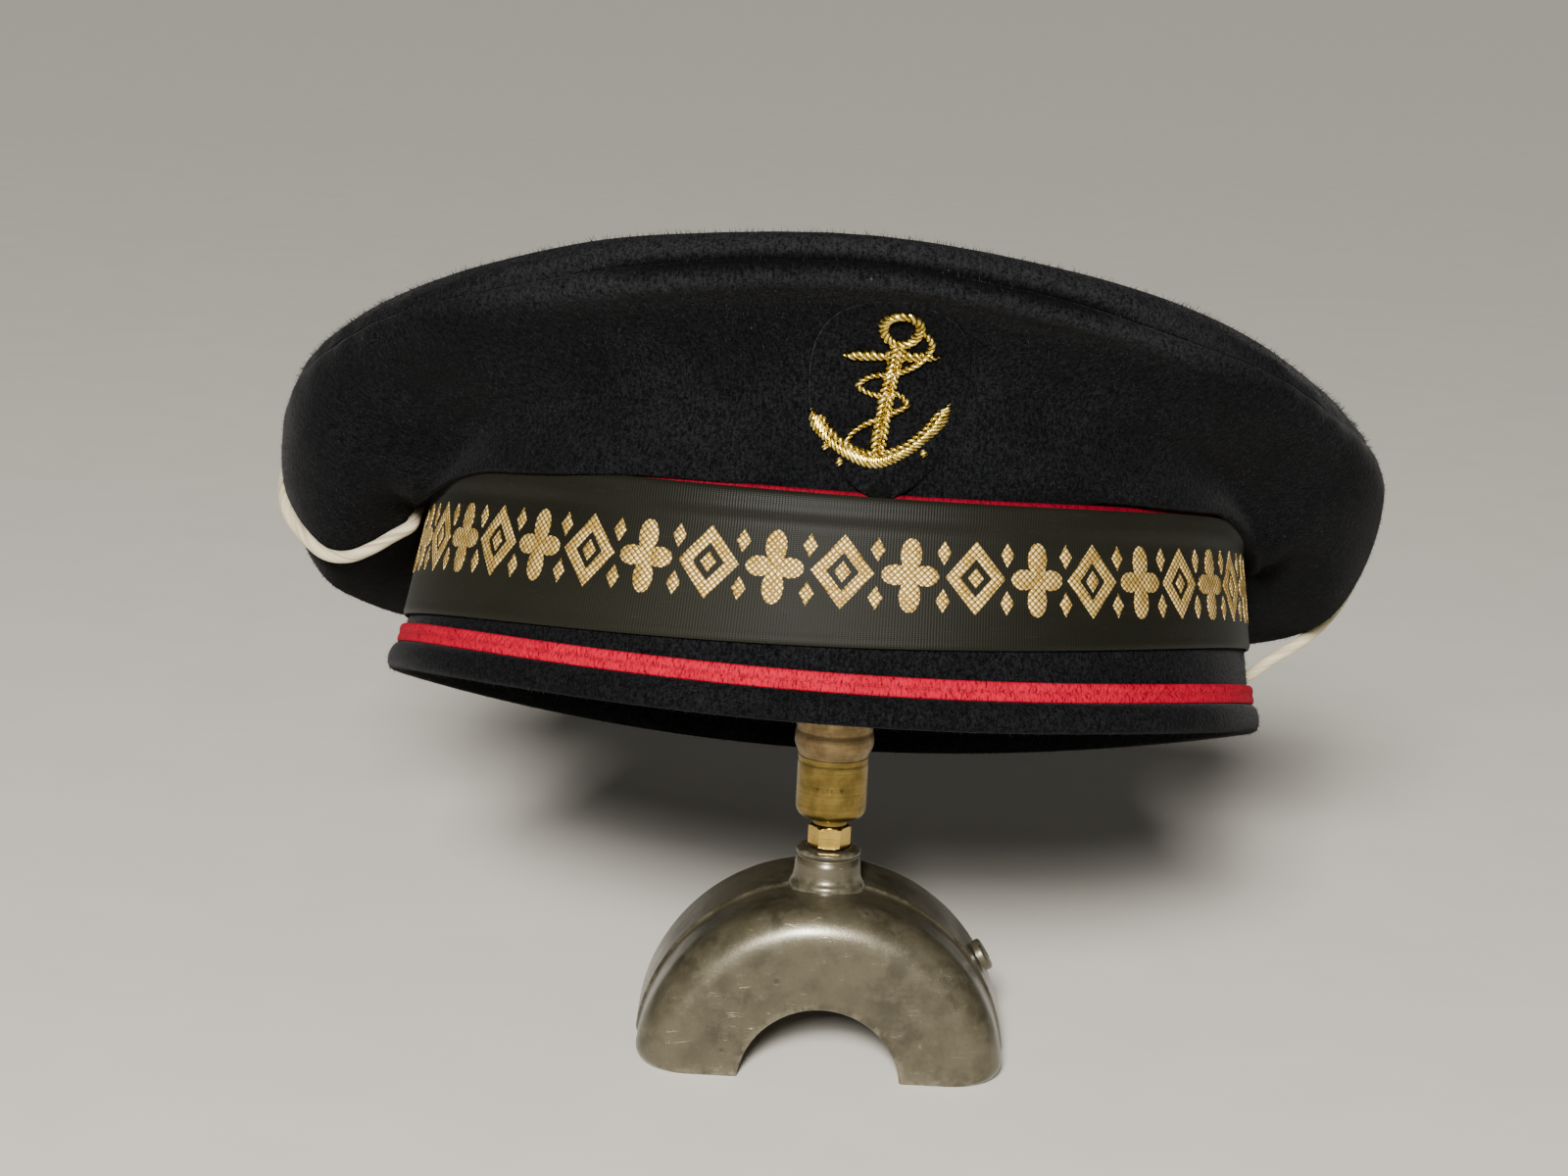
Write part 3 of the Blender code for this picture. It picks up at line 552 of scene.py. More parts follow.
def spline(knots: np.ndarray, places: np.ndarray) -> np.ndarray:
    """Points of a smooth curve through knots.

    Args:
        knots: the points that the curve passes through.
        places: the wanted parameters; 0 is the first knot and each knot is one further.

    Returns:
        One point for each parameter.
    """
    knots = np.asarray(knots, dtype=float)
    places = np.atleast_1d(places).astype(float)
    last = len(knots) - 1
    padded = np.vstack([2 * knots[0] - knots[1], knots, 2 * knots[-1] - knots[-2]])
    span = np.clip(places.astype(int), 0, last - 1)
    p = [padded[span + k] for k in range(4)]
    gaps = [np.maximum(np.linalg.norm(b - a, axis=1), 1e-9)[:, None] ** 0.5 for a, b in zip(p, p[1:])]
    t0, t1 = 0.0, gaps[0]
    t2 = t1 + gaps[1]
    t3 = t2 + gaps[2]
    x = t1 + (places - span)[:, None] * gaps[1]
    a1 = (t1 - x) / (t1 - t0) * p[0] + (x - t0) / (t1 - t0) * p[1]
    a2 = (t2 - x) / (t2 - t1) * p[1] + (x - t1) / (t2 - t1) * p[2]
    a3 = (t3 - x) / (t3 - t2) * p[2] + (x - t2) / (t3 - t2) * p[3]
    b1 = (t2 - x) / (t2 - t0) * a1 + (x - t0) / (t2 - t0) * a2
    b2 = (t3 - x) / (t3 - t1) * a2 + (x - t1) / (t3 - t1) * a3
    return (t2 - x) / (t2 - t1) * b1 + (x - t1) / (t2 - t1) * b2


def run_length(line: np.ndarray) -> np.ndarray:
    """The length run at each point of a line."""
    return np.concatenate([[0.0], np.cumsum(np.linalg.norm(np.diff(line, axis=0), axis=1))])


def even_line(knots: np.ndarray, step: float) -> np.ndarray:
    """A smooth line through knots with its points an equal step apart.

    Args:
        knots: the points that it passes through.
        step: the length from one point to the next.

    Returns:
        The line's points.
    """
    dense = spline(knots, np.linspace(0, len(knots) - 1, 60 * len(knots)))
    runs = run_length(dense)
    wanted = np.linspace(0, runs[-1], max(int(runs[-1] / step), 4) + 1)
    return np.stack([np.interp(wanted, runs, values) for values in dense.T], axis=1)


def hump(value: np.ndarray, middle: float, width: float) -> np.ndarray:
    """1 at the middle, falling off smoothly over a width."""
    return np.exp(-(((value - middle) / width) ** 2))


def unit(vectors: np.ndarray) -> np.ndarray:
    """The directions of vectors, each of length 1."""
    return vectors / np.maximum(np.linalg.norm(vectors, axis=-1, keepdims=True), 1e-12)


def new_corners(made: dict) -> list[bmesh.types.BMVert]:
    """The corners that an extrusion made."""
    return [item for item in made["geom"] if isinstance(item, bmesh.types.BMVert)]


def azimuths(count: int) -> np.ndarray:
    """Equal steps once round the cap, with the first repeated as the last."""
    return np.linspace(0, TURN, count + 1)


def table_normals(table: np.ndarray) -> np.ndarray:
    """Outward directions on a closed band.

    Args:
        table: its places by column and row, with the first column repeated as the last.

    Returns:
        The direction at each place.
    """
    across = np.gradient(table, axis=0)
    across[0] = across[-1] = table[1] - table[-2]
    return unit(np.cross(across, np.gradient(table, axis=1)))


def flat_places(along: np.ndarray, across: np.ndarray) -> np.ndarray:
    """The flat (u, v) places of a grid from what runs along it and what runs across it."""
    return np.stack(np.broadcast_arrays(along, across), axis=-1)


def join(whole: BMesh, part: BMesh) -> None:
    """Adds one body to another.

    Args:
        whole: the body that grows.
        part: the body that is added, which is used up.
    """
    mesh = bpy.data.meshes.new("part")
    part.to_mesh(mesh)
    part.free()
    whole.from_mesh(mesh)
    bpy.data.meshes.remove(mesh)


def add_object(name: str, data: bpy.types.ID | None) -> bpy.types.Object:
    """Puts a new object in the scene.

    Args:
        name: its name.
        data: its mesh, camera or light.

    Returns:
        The object.
    """
    made = bpy.data.objects.new(name, data)
    bpy.context.scene.collection.objects.link(made)
    return made


def soft_step(value: float, low: float, high: float) -> float:
    """0 below low, 1 above high and a smooth blend between."""
    share = min(max((value - low) / (high - low), 0.0), 1.0)
    return share * share * (3 - 2 * share)


def ripple(points: np.ndarray, size: float, seed: float) -> np.ndarray:
    """Smooth noise from -1 to 1 over points, with features of a size in metres."""
    values = [noise.noise(Vector(p) / size + Vector((seed, 0, 0))) for p in points.reshape(-1, 3)]
    return np.array(values).reshape(points.shape[:-1])


def grid_body(table: np.ndarray, cloth: np.ndarray | None = None, caps: bool = False) -> BMesh:
    """A grid whose points are moved to a table of places, with the sides that meet welded.

    Args:
        table: places by column and row. A closed side repeats its first line as its last.
        cloth: the flat (u, v) place of each point, for patterns that follow the surface.
        caps: closes the open ends of a tube.

    Returns:
        The closed body, facing outwards.
    """
    columns, rows = table.shape[:2]
    bm = bmesh.new()
    layer = bm.loops.layers.uv.new("cloth")
    bmesh.ops.create_grid(bm, x_segments=columns - 1, y_segments=rows - 1, size=1.0)
    index = {
        vert: (round((vert.co.x + 1) / 2 * (columns - 1)), round((vert.co.y + 1) / 2 * (rows - 1)))
        for vert in bm.verts
    }
    if cloth is not None:
        for face in bm.faces:
            for loop in face.loops:
                loop[layer].uv = cloth[index[loop.vert]]
    for vert, place in index.items():
        vert.co = table[place]
    bmesh.ops.remove_doubles(bm, verts=bm.verts, dist=1e-6)
    if caps:
        rims = [edge for edge in bm.edges if edge.is_boundary]
        bmesh.ops.holes_fill(bm, edges=rims, sides=0)
    bmesh.ops.dissolve_degenerate(bm, edges=bm.edges, dist=1e-7)
    bmesh.ops.recalc_face_normals(bm, faces=bm.faces)
    return bm


def turned(profile: Sequence[tuple], steps: int = 96) -> BMesh:
    """A lathe-turned body, closed at both ends on its axis.

    Args:
        profile: its outline as (radius, height), from the bottom up.
        steps: how many flat faces go round it.

    Returns:
        The closed body, facing outwards.
    """
    bm = bmesh.new()
    places = [(0.0, profile[0][1]), *profile, (0.0, profile[-1][1])]
    verts = [bm.verts.new((r, 0.0, z)) for r, z in places]
    edges = [bm.edges.new(pair) for pair in zip(verts, verts[1:])]
    bmesh.ops.spin(
        bm, geom=verts + edges, cent=(0, 0, 0), axis=(0, 0, 1), angle=TURN, steps=steps, use_merge=True,
    )
    bmesh.ops.remove_doubles(bm, verts=bm.verts, dist=1e-7)
    bmesh.ops.dissolve_degenerate(bm, edges=bm.edges, dist=1e-8)
    bmesh.ops.recalc_face_normals(bm, faces=bm.faces)
    return bm


def rounded(profile: Sequence[tuple], radius: float, steps: int = 4) -> list[tuple]:
    """A profile with its inner corners rounded.

    Args:
        profile: points (radius, height); the first and the last stay.
        radius: how far from a corner the rounding starts.
        steps: pieces in each rounding.

    Returns:
        The profile with each corner turned into a short curve.
    """
    out = [profile[0]]
    for before, here, after in zip(profile, profile[1:], profile[2:]):
        a, b, c = (np.array(p, dtype=float) for p in (before, here, after))
        reach = min(radius, 0.45 * np.linalg.norm(a - b), 0.45 * np.linalg.norm(c - b))
        start = b + unit(a - b) * reach
        end = b + unit(c - b) * reach
        for k in range(steps + 1):
            t = k / steps
            out.append(tuple((1 - t) ** 2 * start + 2 * t * (1 - t) * b + t * t * end))
    return out + [profile[-1]]


@dataclass
class Nap:
    """The short loose fibres that stand off brushed felt, each one a slim closed spike."""

    length: float = 0.00085
    spread: tuple = (0.55, 1.35)
    thickness: float = 0.000085
    lift: float = 0.52
    comb: float = 0.60
    stray: float = 0.33
    turn_stray: float = 0.1
    sunk: float = 0.00004
    corners: int = 4
    seed: int = 7

    def spikes(self, count: int) -> bpy.types.Mesh:
        """Copies one three-sided cone, which has four corners, until there are enough.

        Args:
            count: how many are wanted.

        Returns:
            The cones, all in one place.
        """
        bm = bmesh.new()
        bmesh.ops.create_cone(bm, cap_ends=True, segments=3, radius1=1.0, radius2=0.0, depth=1.0)
        mesh = bpy.data.meshes.new("spikes")
        bm.to_mesh(mesh)
        bm.free()
        while len(mesh.vertices) < self.corners * count:
            bm = bmesh.new()
            bm.from_mesh(mesh)
            bm.from_mesh(mesh)
            bm.to_mesh(mesh)
            bm.free()
        return mesh

    def scatter(self, table: np.ndarray, chance: np.random.Generator, count: int) -> tuple[np.ndarray, ...]:
        """Picks places on a surface, evenly over its area.

        Args:
            table: the surface's places by column and row.
            chance: the random source.
            count: how many places.

        Returns:
            The places, the outward directions and the directions down the nap.
        """
        a, b, c = table[:-1, :-1], table[1:, :-1], table[:-1, 1:]
        area = np.linalg.norm(np.cross(b - a, c - a), axis=-1).ravel()
        cell = chance.choice(area.size, size=count, p=area / area.sum())
        i, j = np.unravel_index(cell, a.shape[:2])
        u, v = chance.random((2, count, 1))
        place = table[i, j] * (1 - u) * (1 - v) + table[i + 1, j] * u * (1 - v)
        place += table[i, j + 1] * (1 - u) * v + table[i + 1, j + 1] * u * v
        return place, table_normals(table)[i, j], unit(table[i, j] - table[i, j + 1])

    def build(self, name: str, table: np.ndarray, finish: Material, doublings: int, place: Matrix) -> None:
        """Grows the nap on a surface.

        Args:
            name: the piece's name.
            table: the surface's places by column and row.
            finish: the fibres' material.
            doublings: there are two to this power of fibres.
            place: the move into the row frame.
        """
        count = 2**doublings
        mesh = self.spikes(count)
        chance = np.random.default_rng(self.seed)
        root, out, down = self.scatter(table, chance, count)
        stray = chance.normal(size=(count, 3))
        aim = unit(down * self.comb + out * self.lift + stray * self.stray)
        side = unit(np.cross(aim, out + self.turn_stray * stray))
        across = np.cross(aim, side)
        length = self.length * chance.uniform(*self.spread, (count, 1))
        cone = np.empty(len(mesh.vertices) * 3)
        mesh.vertices.foreach_get("co", cone)
        cone = cone.reshape(count, self.corners, 3)
        grown = root[:, None] - self.sunk * out[:, None]
        grown = grown + cone[..., 0:1] * side[:, None] * self.thickness / 2
        grown = grown + cone[..., 1:2] * across[:, None] * self.thickness / 2
        grown = grown + (cone[..., 2:3] + 0.5) * (aim * length)[:, None]
        mesh.vertices.foreach_set("co", grown.ravel())
        bm = bmesh.new()
        bm.from_mesh(mesh)
        bpy.data.meshes.remove(mesh)
        bmesh.ops.recalc_face_normals(bm, faces=bm.faces)
        add_piece(name, bm, finish, (), place)


def add_piece(
    name: str,
    bm: BMesh,
    finish: Material,
    nodes: Sequence[str] = (),
    place: Matrix | None = None,
    sharp: float = 0.0,
) -> bpy.types.Object:
    """Makes a finished body a named piece that rides on the part.

    Args:
        name: the piece's name.
        bm: its body, which is used up.
        finish: its material.
        nodes: the CAD nodes that it stands for.
        place: a move into the row frame.
        sharp: edges steeper than this angle in degrees stay sharp.

    Returns:
        The piece's object.
    """
    mesh = bpy.data.meshes.new(name)
    bm.to_mesh(mesh)
    bm.free()
    if place is not None:
        mesh.transform(place)
    mesh.shade_smooth()
    if sharp:
        mesh.set_sharp_from_angle(angle=math.radians(sharp))
    mesh.materials.append(finish)
    piece = add_object(name, mesh)
    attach(piece, BODY)
    if nodes:
        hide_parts(*nodes)
    LOG.info("%s: %d faces", name, len(mesh.polygons))
    return piece


# The cap's form


@dataclass(frozen=True)
class CapShape:
    """The cap's measured form, which every cloth piece is laid on."""

    gap: float = 0.0003
    rim_width: float = 0.191
    rim_depth: float = 0.197
    taper: float = 0.007
    lean: float = 0.0005
    saddle: float = 0.004
    wall: float = 0.003
    hem_height: float = 0.0062
    hem_bulge: float = 0.0022
    braid_width: float = 0.004
    braid_thickness: float = 0.001
    braid_to_ribbon: float = 0.005
    ribbon_width: float = 0.0302
    ribbon_thickness: float = 0.001
    ribbon_skew: float = 0.003
    ribbon_to_top: float = 0.0006
    cloth: float = 0.002
    front_rise: float = 0.0465
    overhang: float = 0.0326
    dome: float = 0.003
    lobe_skew: float = 0.0055
    top_skew: float = -0.0015
    drift: float = -0.0008
    skew_range: tuple = (0.42, 0.68)
    skew_shares: tuple = ((0.2, 0.0), (0.5, 0.3), (0.9, 0.6), (1.0, 0.6), (0.6, 1.0), (0.2, 1.0))
    seam_knot: int = 5
    last_knot: int = 6
    seam_gaps: float = 1.4
    turn_in: float = 0.05
    knot_step: float = 0.01
    seam_span: float = 0.05
    tilt: float = math.radians(-16.6)
    roll: float = math.radians(1.4)
    stand: tuple = (-0.0008176, -0.0174867, 0.0763)
    sections: tuple = (
        (0, -0.06, 0.110, 0.06, 0.480, 0.29, 0.700, 0.62, 0.830, 0.715, 0.910, 0.60, 1.045),
        (22, -0.04, 0.085, 0.08, 0.430, 0.32, 0.610, 0.67, 0.740, 0.760, 0.815, 0.63, 0.970),
        (42, 0.03, 0.020, 0.12, 0.270, 0.40, 0.390, 0.79, 0.540, 0.865, 0.650, 0.69, 0.815),
        (60, 0.04, 0.000, 0.15, 0.120, 0.45, 0.170, 0.91, 0.330, 0.930, 0.465, 0.72, 0.645),
        (75, 0.05, 0.000, 0.20, -0.030, 0.58, -0.140, 1.01, 0.100, 0.990, 0.330, 0.75, 0.530),
        (90, 0.05, 0.000, 0.23, -0.270, 0.74, -0.440, 1.06, -0.060, 1.000, 0.235, 0.77, 0.440),
        (110, 0.05, 0.000, 0.24, -0.440, 0.86, -0.510, 1.10, -0.170, 1.000, 0.160, 0.77, 0.340),
        (150, 0.05, 0.000, 0.25, -0.380, 0.82, -0.470, 1.06, -0.150, 0.970, 0.135, 0.77, 0.285),
        (180, 0.05, 0.000, 0.25, -0.350, 0.78, -0.430, 1.03, -0.140, 0.960, 0.130, 0.77, 0.270),
    )

    @property
    def band_height(self) -> float:
        """Height of the band from the rim to its top edge."""
        lower = self.hem_height + self.braid_width + self.braid_to_ribbon
        return lower + self.ribbon_width + self.ribbon_to_top

    @property
    def girth_radius(self) -> float:
        """The mean radius of the rim."""
        return (self.rim_width + self.rim_depth) / 4

    @property
    def ribbon_radius(self) -> float:
        """The mean radius of the band's middle, where the ribbon lies."""
        return self.girth_radius - self.taper / 2

    @property
    def braid_face(self) -> float:
        """How far the braids' face stands off the band."""
        return self.gap + self.braid_thickness

    @property
    def ribbon_face(self) -> float:
        """How far the ribbon's face stands off the band where it passes over the upper braid."""
        return self.braid_face + self.gap + self.ribbon_thickness

    @property
    def on_stand(self) -> Matrix:
        """The move from the cap's own frame onto the stand."""
        return Matrix.Translation(self.stand) @ Euler((self.tilt, self.roll, 0)).to_matrix().to_4x4()

    def band_place(self, azimuth: np.ndarray, height: np.ndarray, out: np.ndarray) -> np.ndarray:
        """Places on the band's outside.

        Args:
            azimuth: angles round the cap.
            height: heights over the rim.
            out: distances out from the band.

        Returns:
            The places, in the cap's frame.
        """
        azimuth, height, out = np.broadcast_arrays(azimuth, height, out)
        share = height / self.band_height
        half_width = self.rim_width / 2 - self.taper * share
        half_depth = self.rim_depth / 2 - self.taper * share
        across, along = np.sin(azimuth), -np.cos(azimuth)
        normal = unit(np.stack([across / half_width, along / half_depth], axis=-1))
        x = half_width * across + self.lean * share + normal[..., 0] * out
        y = half_depth * along + normal[..., 1] * out
        return np.stack([x, y, height - self.saddle * np.cos(2 * azimuth)], axis=-1)

    def section_row(self, azimuth: float) -> np.ndarray:
        """The section values at an azimuth, blended smoothly between the table's rows.

        Args:
            azimuth: angle round the cap.

        Returns:
            The angle in degrees from the front, then the knots' values, as in a row of the table.
        """
        angle = abs(math.degrees(math.remainder(azimuth, TURN)))
        rows = np.array(self.sections, dtype=float)
        before, after = rows[1].copy(), rows[-2].copy()
        before[0] = -before[0]
        after[0] = 360.0 - after[0]
        rows = np.vstack([before, rows, after])
        knots = rows[:, 0]
        i = int(np.clip(np.searchsorted(knots, angle, side="right") - 1, 1, len(knots) - 3))
        span = knots[i + 1] - knots[i]
        t = (angle - knots[i]) / span
        slope_a = (rows[i + 1] - rows[i - 1]) / (knots[i + 1] - knots[i - 1])
        slope_b = (rows[i + 2] - rows[i]) / (knots[i + 2] - knots[i])
        blend = (2 * t**3 - 3 * t**2 + 1) * rows[i] + (t**3 - 2 * t**2 + t) * span * slope_a
        return blend + (-2 * t**3 + 3 * t**2) * rows[i + 1] + (t**3 - t**2) * span * slope_b

    def controls(self, azimuth: float) -> np.ndarray:
        """The crown's section at an azimuth.

        Args:
            azimuth: angle round the cap.

        Returns:
            Its knots (out, up), from the turned-in lower edge over the seam to the top.
        """
        row = self.section_row(azimuth)[1:]
        points = list(zip(row[0::2] * self.overhang, row[1::2] * self.front_rise))
        lip_out, lip_up = points[0]
        points[0] = (self.ribbon_face + self.gap + lip_out, lip_up)
        lobe = self.lobe_skew * math.sin(azimuth) * soft_step(abs(math.sin(azimuth / 2)), *self.skew_range)
        top = self.top_skew * math.sin(azimuth)
        points = [(out, up + lobe * a + top * b) for (out, up), (a, b) in zip(points, self.skew_shares)]
        turned_in = min(max(1.0 - lip_up / (self.turn_in * self.front_rise), 0.0), 1.0)
        start = (-0.5 * self.cloth * turned_in, self.gap + 0.5 * self.cloth * turned_in)
        return np.array([start, *points])

    def section(self, azimuth: float, places: np.ndarray) -> tuple[np.ndarray, np.ndarray]:
        """The outside of the crown's cloth at an azimuth.

        Args:
            azimuth: angle round the cap.
            places: parameters along the section.

        Returns:
            The points (out, up) and the outward direction at each.
        """
        knots = self.controls(azimuth)
        ahead = spline(knots, np.minimum(places + self.knot_step, self.last_knot))
        tangent = unit(ahead - spline(knots, np.maximum(places - self.knot_step, 0.0)))
        return spline(knots, places), np.stack([tangent[:, 1], -tangent[:, 0]], axis=1)

    def seam_step(self, azimuth: float) -> float:
        """Half the clearance at the seam, as a step of the section parameter."""
        ends = spline(self.controls(azimuth), self.seam_knot + self.seam_span * np.array([-1, 1]))
        return 2 * self.seam_span * self.seam_gaps * self.gap / np.linalg.norm(ends[1] - ends[0])

    def crown_place(self, azimuth: float, flat: np.ndarray) -> np.ndarray:
        """Puts section points into the cap's frame.

        Args:
            azimuth: angle round the cap.
            flat: the points (out, up).

        Returns:
            The places.
        """
        places = self.band_place(azimuth, self.band_height, flat[..., 0])
        places[..., 0] += self.drift * np.minimum(flat[..., 0] / self.overhang, 1.0)
        places[..., 2] += flat[..., 1]
        return places


# Studio


@dataclass
class Studio:
    """The camera at the photograph's angle, soft light and a plain pale floor."""

    camera_place: tuple = (-0.01052, -0.72109, 0.261)
    pitch: float = math.radians(77.6)
    roll: float = math.radians(2.9)
    lens: float = 74.25
    floor_radius: float = 14.0
    floor_drop: float = 0.0002
    cap_middle: tuple = (0.0, 0.0, 0.10)

    def place_camera(self) -> None:
        """Puts the camera where the photograph was taken."""
        data = bpy.data.cameras.new("camera")
        data.sensor_width = 36.0
        data.lens = self.lens
        camera = add_object("camera", data)
        turn = Euler((self.pitch, 0, 0)).to_matrix() @ Matrix.Rotation(self.roll, 3, "Z")
        camera.matrix_world = Matrix.Translation(self.camera_place) @ turn.to_4x4()
        bpy.context.scene.camera = camera

    def hang(self, lamp: bpy.types.Light, place: tuple, aim: tuple, power: float, colour: tuple) -> None:
        """Puts one lamp in the scene.

        Args:
            lamp: the lamp, with its own size set.
            place: where it hangs.
            aim: what it points at.
            power: its strength.
            colour: its tint.
        """
        lamp.energy = power
        lamp.color = colour
        hung = add_object(lamp.name, lamp)
        hung.location = place
        hung.rotation_euler = (Vector(aim) - Vector(place)).to_track_quat("-Z", "Y").to_euler()

    def set_up(self) -> None:
        """Builds the floor, the lights and the pale surroundings."""
        bm = bmesh.new()
        bmesh.ops.create_circle(bm, cap_ends=True, segments=96, radius=self.floor_radius)
        bmesh.ops.translate(bm, verts=bm.verts, vec=(0, 0, -self.floor_drop))
        mesh = bpy.data.meshes.new("floor")
        bm.to_mesh(mesh)
        bm.free()
        mesh.materials.append(TableCloth().make())
        floor = add_object("floor", mesh)
        key = bpy.data.lights.new("key", "AREA")
        key.size = 0.20
        self.hang(key, (-0.14, -1.15, 0.66), self.cap_middle, 25.0, (1.0, 0.975, 0.93))
        fill = bpy.data.lights.new("fill", "AREA")
        fill.size = 0.8
        self.hang(fill, (1.2, -0.9, 1.1), self.cap_middle, 1.0, (1.0, 0.98, 0.95))
        daylight = bpy.data.lights.new("daylight", "SUN")
        daylight.angle = math.radians(10)
        self.hang(daylight, (-0.10, -1.0, 0.48), (0, 0, 0), 3.8, (1.0, 0.98, 0.94))
        world = bpy.data.worlds.new("soft_room")
        world.use_nodes = True
        sky = world.node_tree.nodes["Background"]
        sky.inputs["Color"].default_value = (1.0, 0.98, 0.95, 1.0)
        sky.inputs["Strength"].default_value = 0.05
        bpy.context.scene.world = world


# Chin cord


@dataclass
class ChinCord:
    """The twisted white cord that lies over the crown."""

    shape: CapShape
    diameter: float = 0.0028
    plies: int = 12
    lay: float = 0.034
    ply_depth: float = 0.028
    sides: int = 60
    step: float = 0.0011
    end_round: float = 0.0012
    end_share: float = 0.25
    ply_sharpness: float = 0.8
    girth: float = 0.0088
    thread_slant: float = 0.42
    tuck: tuple = ((-93.5, 0.4, 44.6), (-93.7, -2.8, 41.4), (-93.9, -5.8, 38.6))
    route: tuple = (
        (-94.3, -8, 36.3), (-98, -10, 33.4), (-102.5, -11, 30.2), (-107.5, -11, 28), (-112.5, -11, 28.3),
        (-117.8, -10, 32.2), (-122.2, -7, 37.7), (-124.4, 0, 45), (-123.8, 7, 53), (-121.2, 11, 62),
        (-117.2, 12, 68.6), (-110.5, 11, 72.2), (-90, 10, 73.2), (-60, 10, 74), (-30, 10, 74.7),
        (0, 10, 75.2), (30, 10, 74.5), (60, 10.3, 73.5), (90, 11.2, 72.2), (105, 12.6, 71.5),
        (113.6, 14.6, 69.5), (118.8, 17.4, 64.6), (121.8, 20.6, 57), (122.6, 23.4, 49), (121.3, 25.2, 41.5),
        (117.8, 25.8, 34.8), (111.9, 25.4, 28.3), (104.3, 25.2, 22.8), (98, 25.8, 17.9),
    )
    eyelet_azimuth: float = math.radians(105.0)
    eyelet_height: float = 0.0130
    eyelet_radius: float = 0.00205
    eyelet_thickness: float = 0.00072
    eyelet_stitches: int = 22
    eyelet_swell: float = 0.18
    eyelet_rise: float = 0.8
    tail: tuple = (0.0030, 0.0004, -0.0021)

    def line(self) -> np.ndarray:
        """The cord's middle line.

        Returns:
            Its points in the row frame, from its left end to its right end.
        """
        move = np.array(self.shape.on_stand)
        into_band = self.shape.band_place(self.eyelet_azimuth, self.eyelet_height, np.array(self.tail))
        own = even_line(np.vstack([np.array(self.tuck + self.route) * MM, into_band]), self.step)
        return own @ move[:3, :3].T + move[:3, 3]

    def frames(self, line: np.ndarray) -> tuple[np.ndarray, np.ndarray]:
        """Carries two directions along a line without twisting them.

        Args:
            line: its points.

        Returns:
            Two directions square to the line and to each other, at each point.
        """
        ahead = unit(np.gradient(line, axis=0))
        side = np.zeros_like(line)
        side[0] = np.cross(ahead[0], (0, 1, 0))
        for i, forward in enumerate(ahead):
            before = side[max(i - 1, 0)]
            side[i] = unit(before - forward * np.dot(before, forward))
        return side, np.cross(ahead, side)

    def build(self) -> None:
        line = self.line()
        runs = run_length(line)
        side, up = self.frames(line)
        turn = np.linspace(0, TURN, self.sides + 1)
        phase = self.plies * (turn[None, :] - TURN * runs[:, None] / self.lay)
        hollow = 1 - np.abs(np.cos(phase / 2)) ** self.ply_sharpness
        radius = self.diameter / 2 * (1 - 2 * self.ply_depth * hollow)
        for end in (0, -1):
            distance = np.abs(runs - runs[end])[:, None]
            radius = radius * np.clip(np.sqrt(distance / self.end_round) + self.end_share, 0, 1)
        ring = np.cos(turn)[None, :, None] * side[:, None] + np.sin(turn)[None, :, None] * up[:, None]
        table = line[:, None] + ring * radius[..., None]
        along = runs[:, None]
        cloth = flat_places(along, turn[None, :] / TURN * self.girth - along * self.thread_slant)
        body = grid_body(table, cloth, caps=True)
        piece = add_piece("cord_twist", body, CottonCord().make(), ["chin_cord"])
        self.build_eyelet()

    def build_eyelet(self) -> None:
        """Builds the stitched eyelet in the band's side that the cord's right end goes into."""
        s = self.shape
        low, high = s.band_place(self.eyelet_azimuth, self.eyelet_height, np.array([0.0, 1.0]))
        out = high - low
        side = unit(np.cross(out, (0.0, 0.0, 1.0)))
        up = np.cross(side, out)
        round_it = np.linspace(0, TURN, 8 * self.eyelet_stitches + 1)[:, None]
        tube = np.linspace(0, TURN, 11)[None, :]
        swell = np.abs(np.cos(self.eyelet_stitches / 2 * round_it)) - 1
        thick = self.eyelet_thickness * (1 + self.eyelet_swell * swell)
        reach = self.eyelet_radius + thick * np.cos(tube)
        table = low + (self.eyelet_rise * thick * np.sin(tube))[..., None] * out
        table = table + (reach * np.cos(round_it))[..., None] * side
        table = table + (reach * np.sin(round_it))[..., None] * up
        thread = Thread("navy_thread", (0.010, 0.0104, 0.013), (0.048, 0.049, 0.056))
        add_piece("cord_eyelet", grid_body(table), thread.make(), (), s.on_stand)


# Band, braids and ribbon


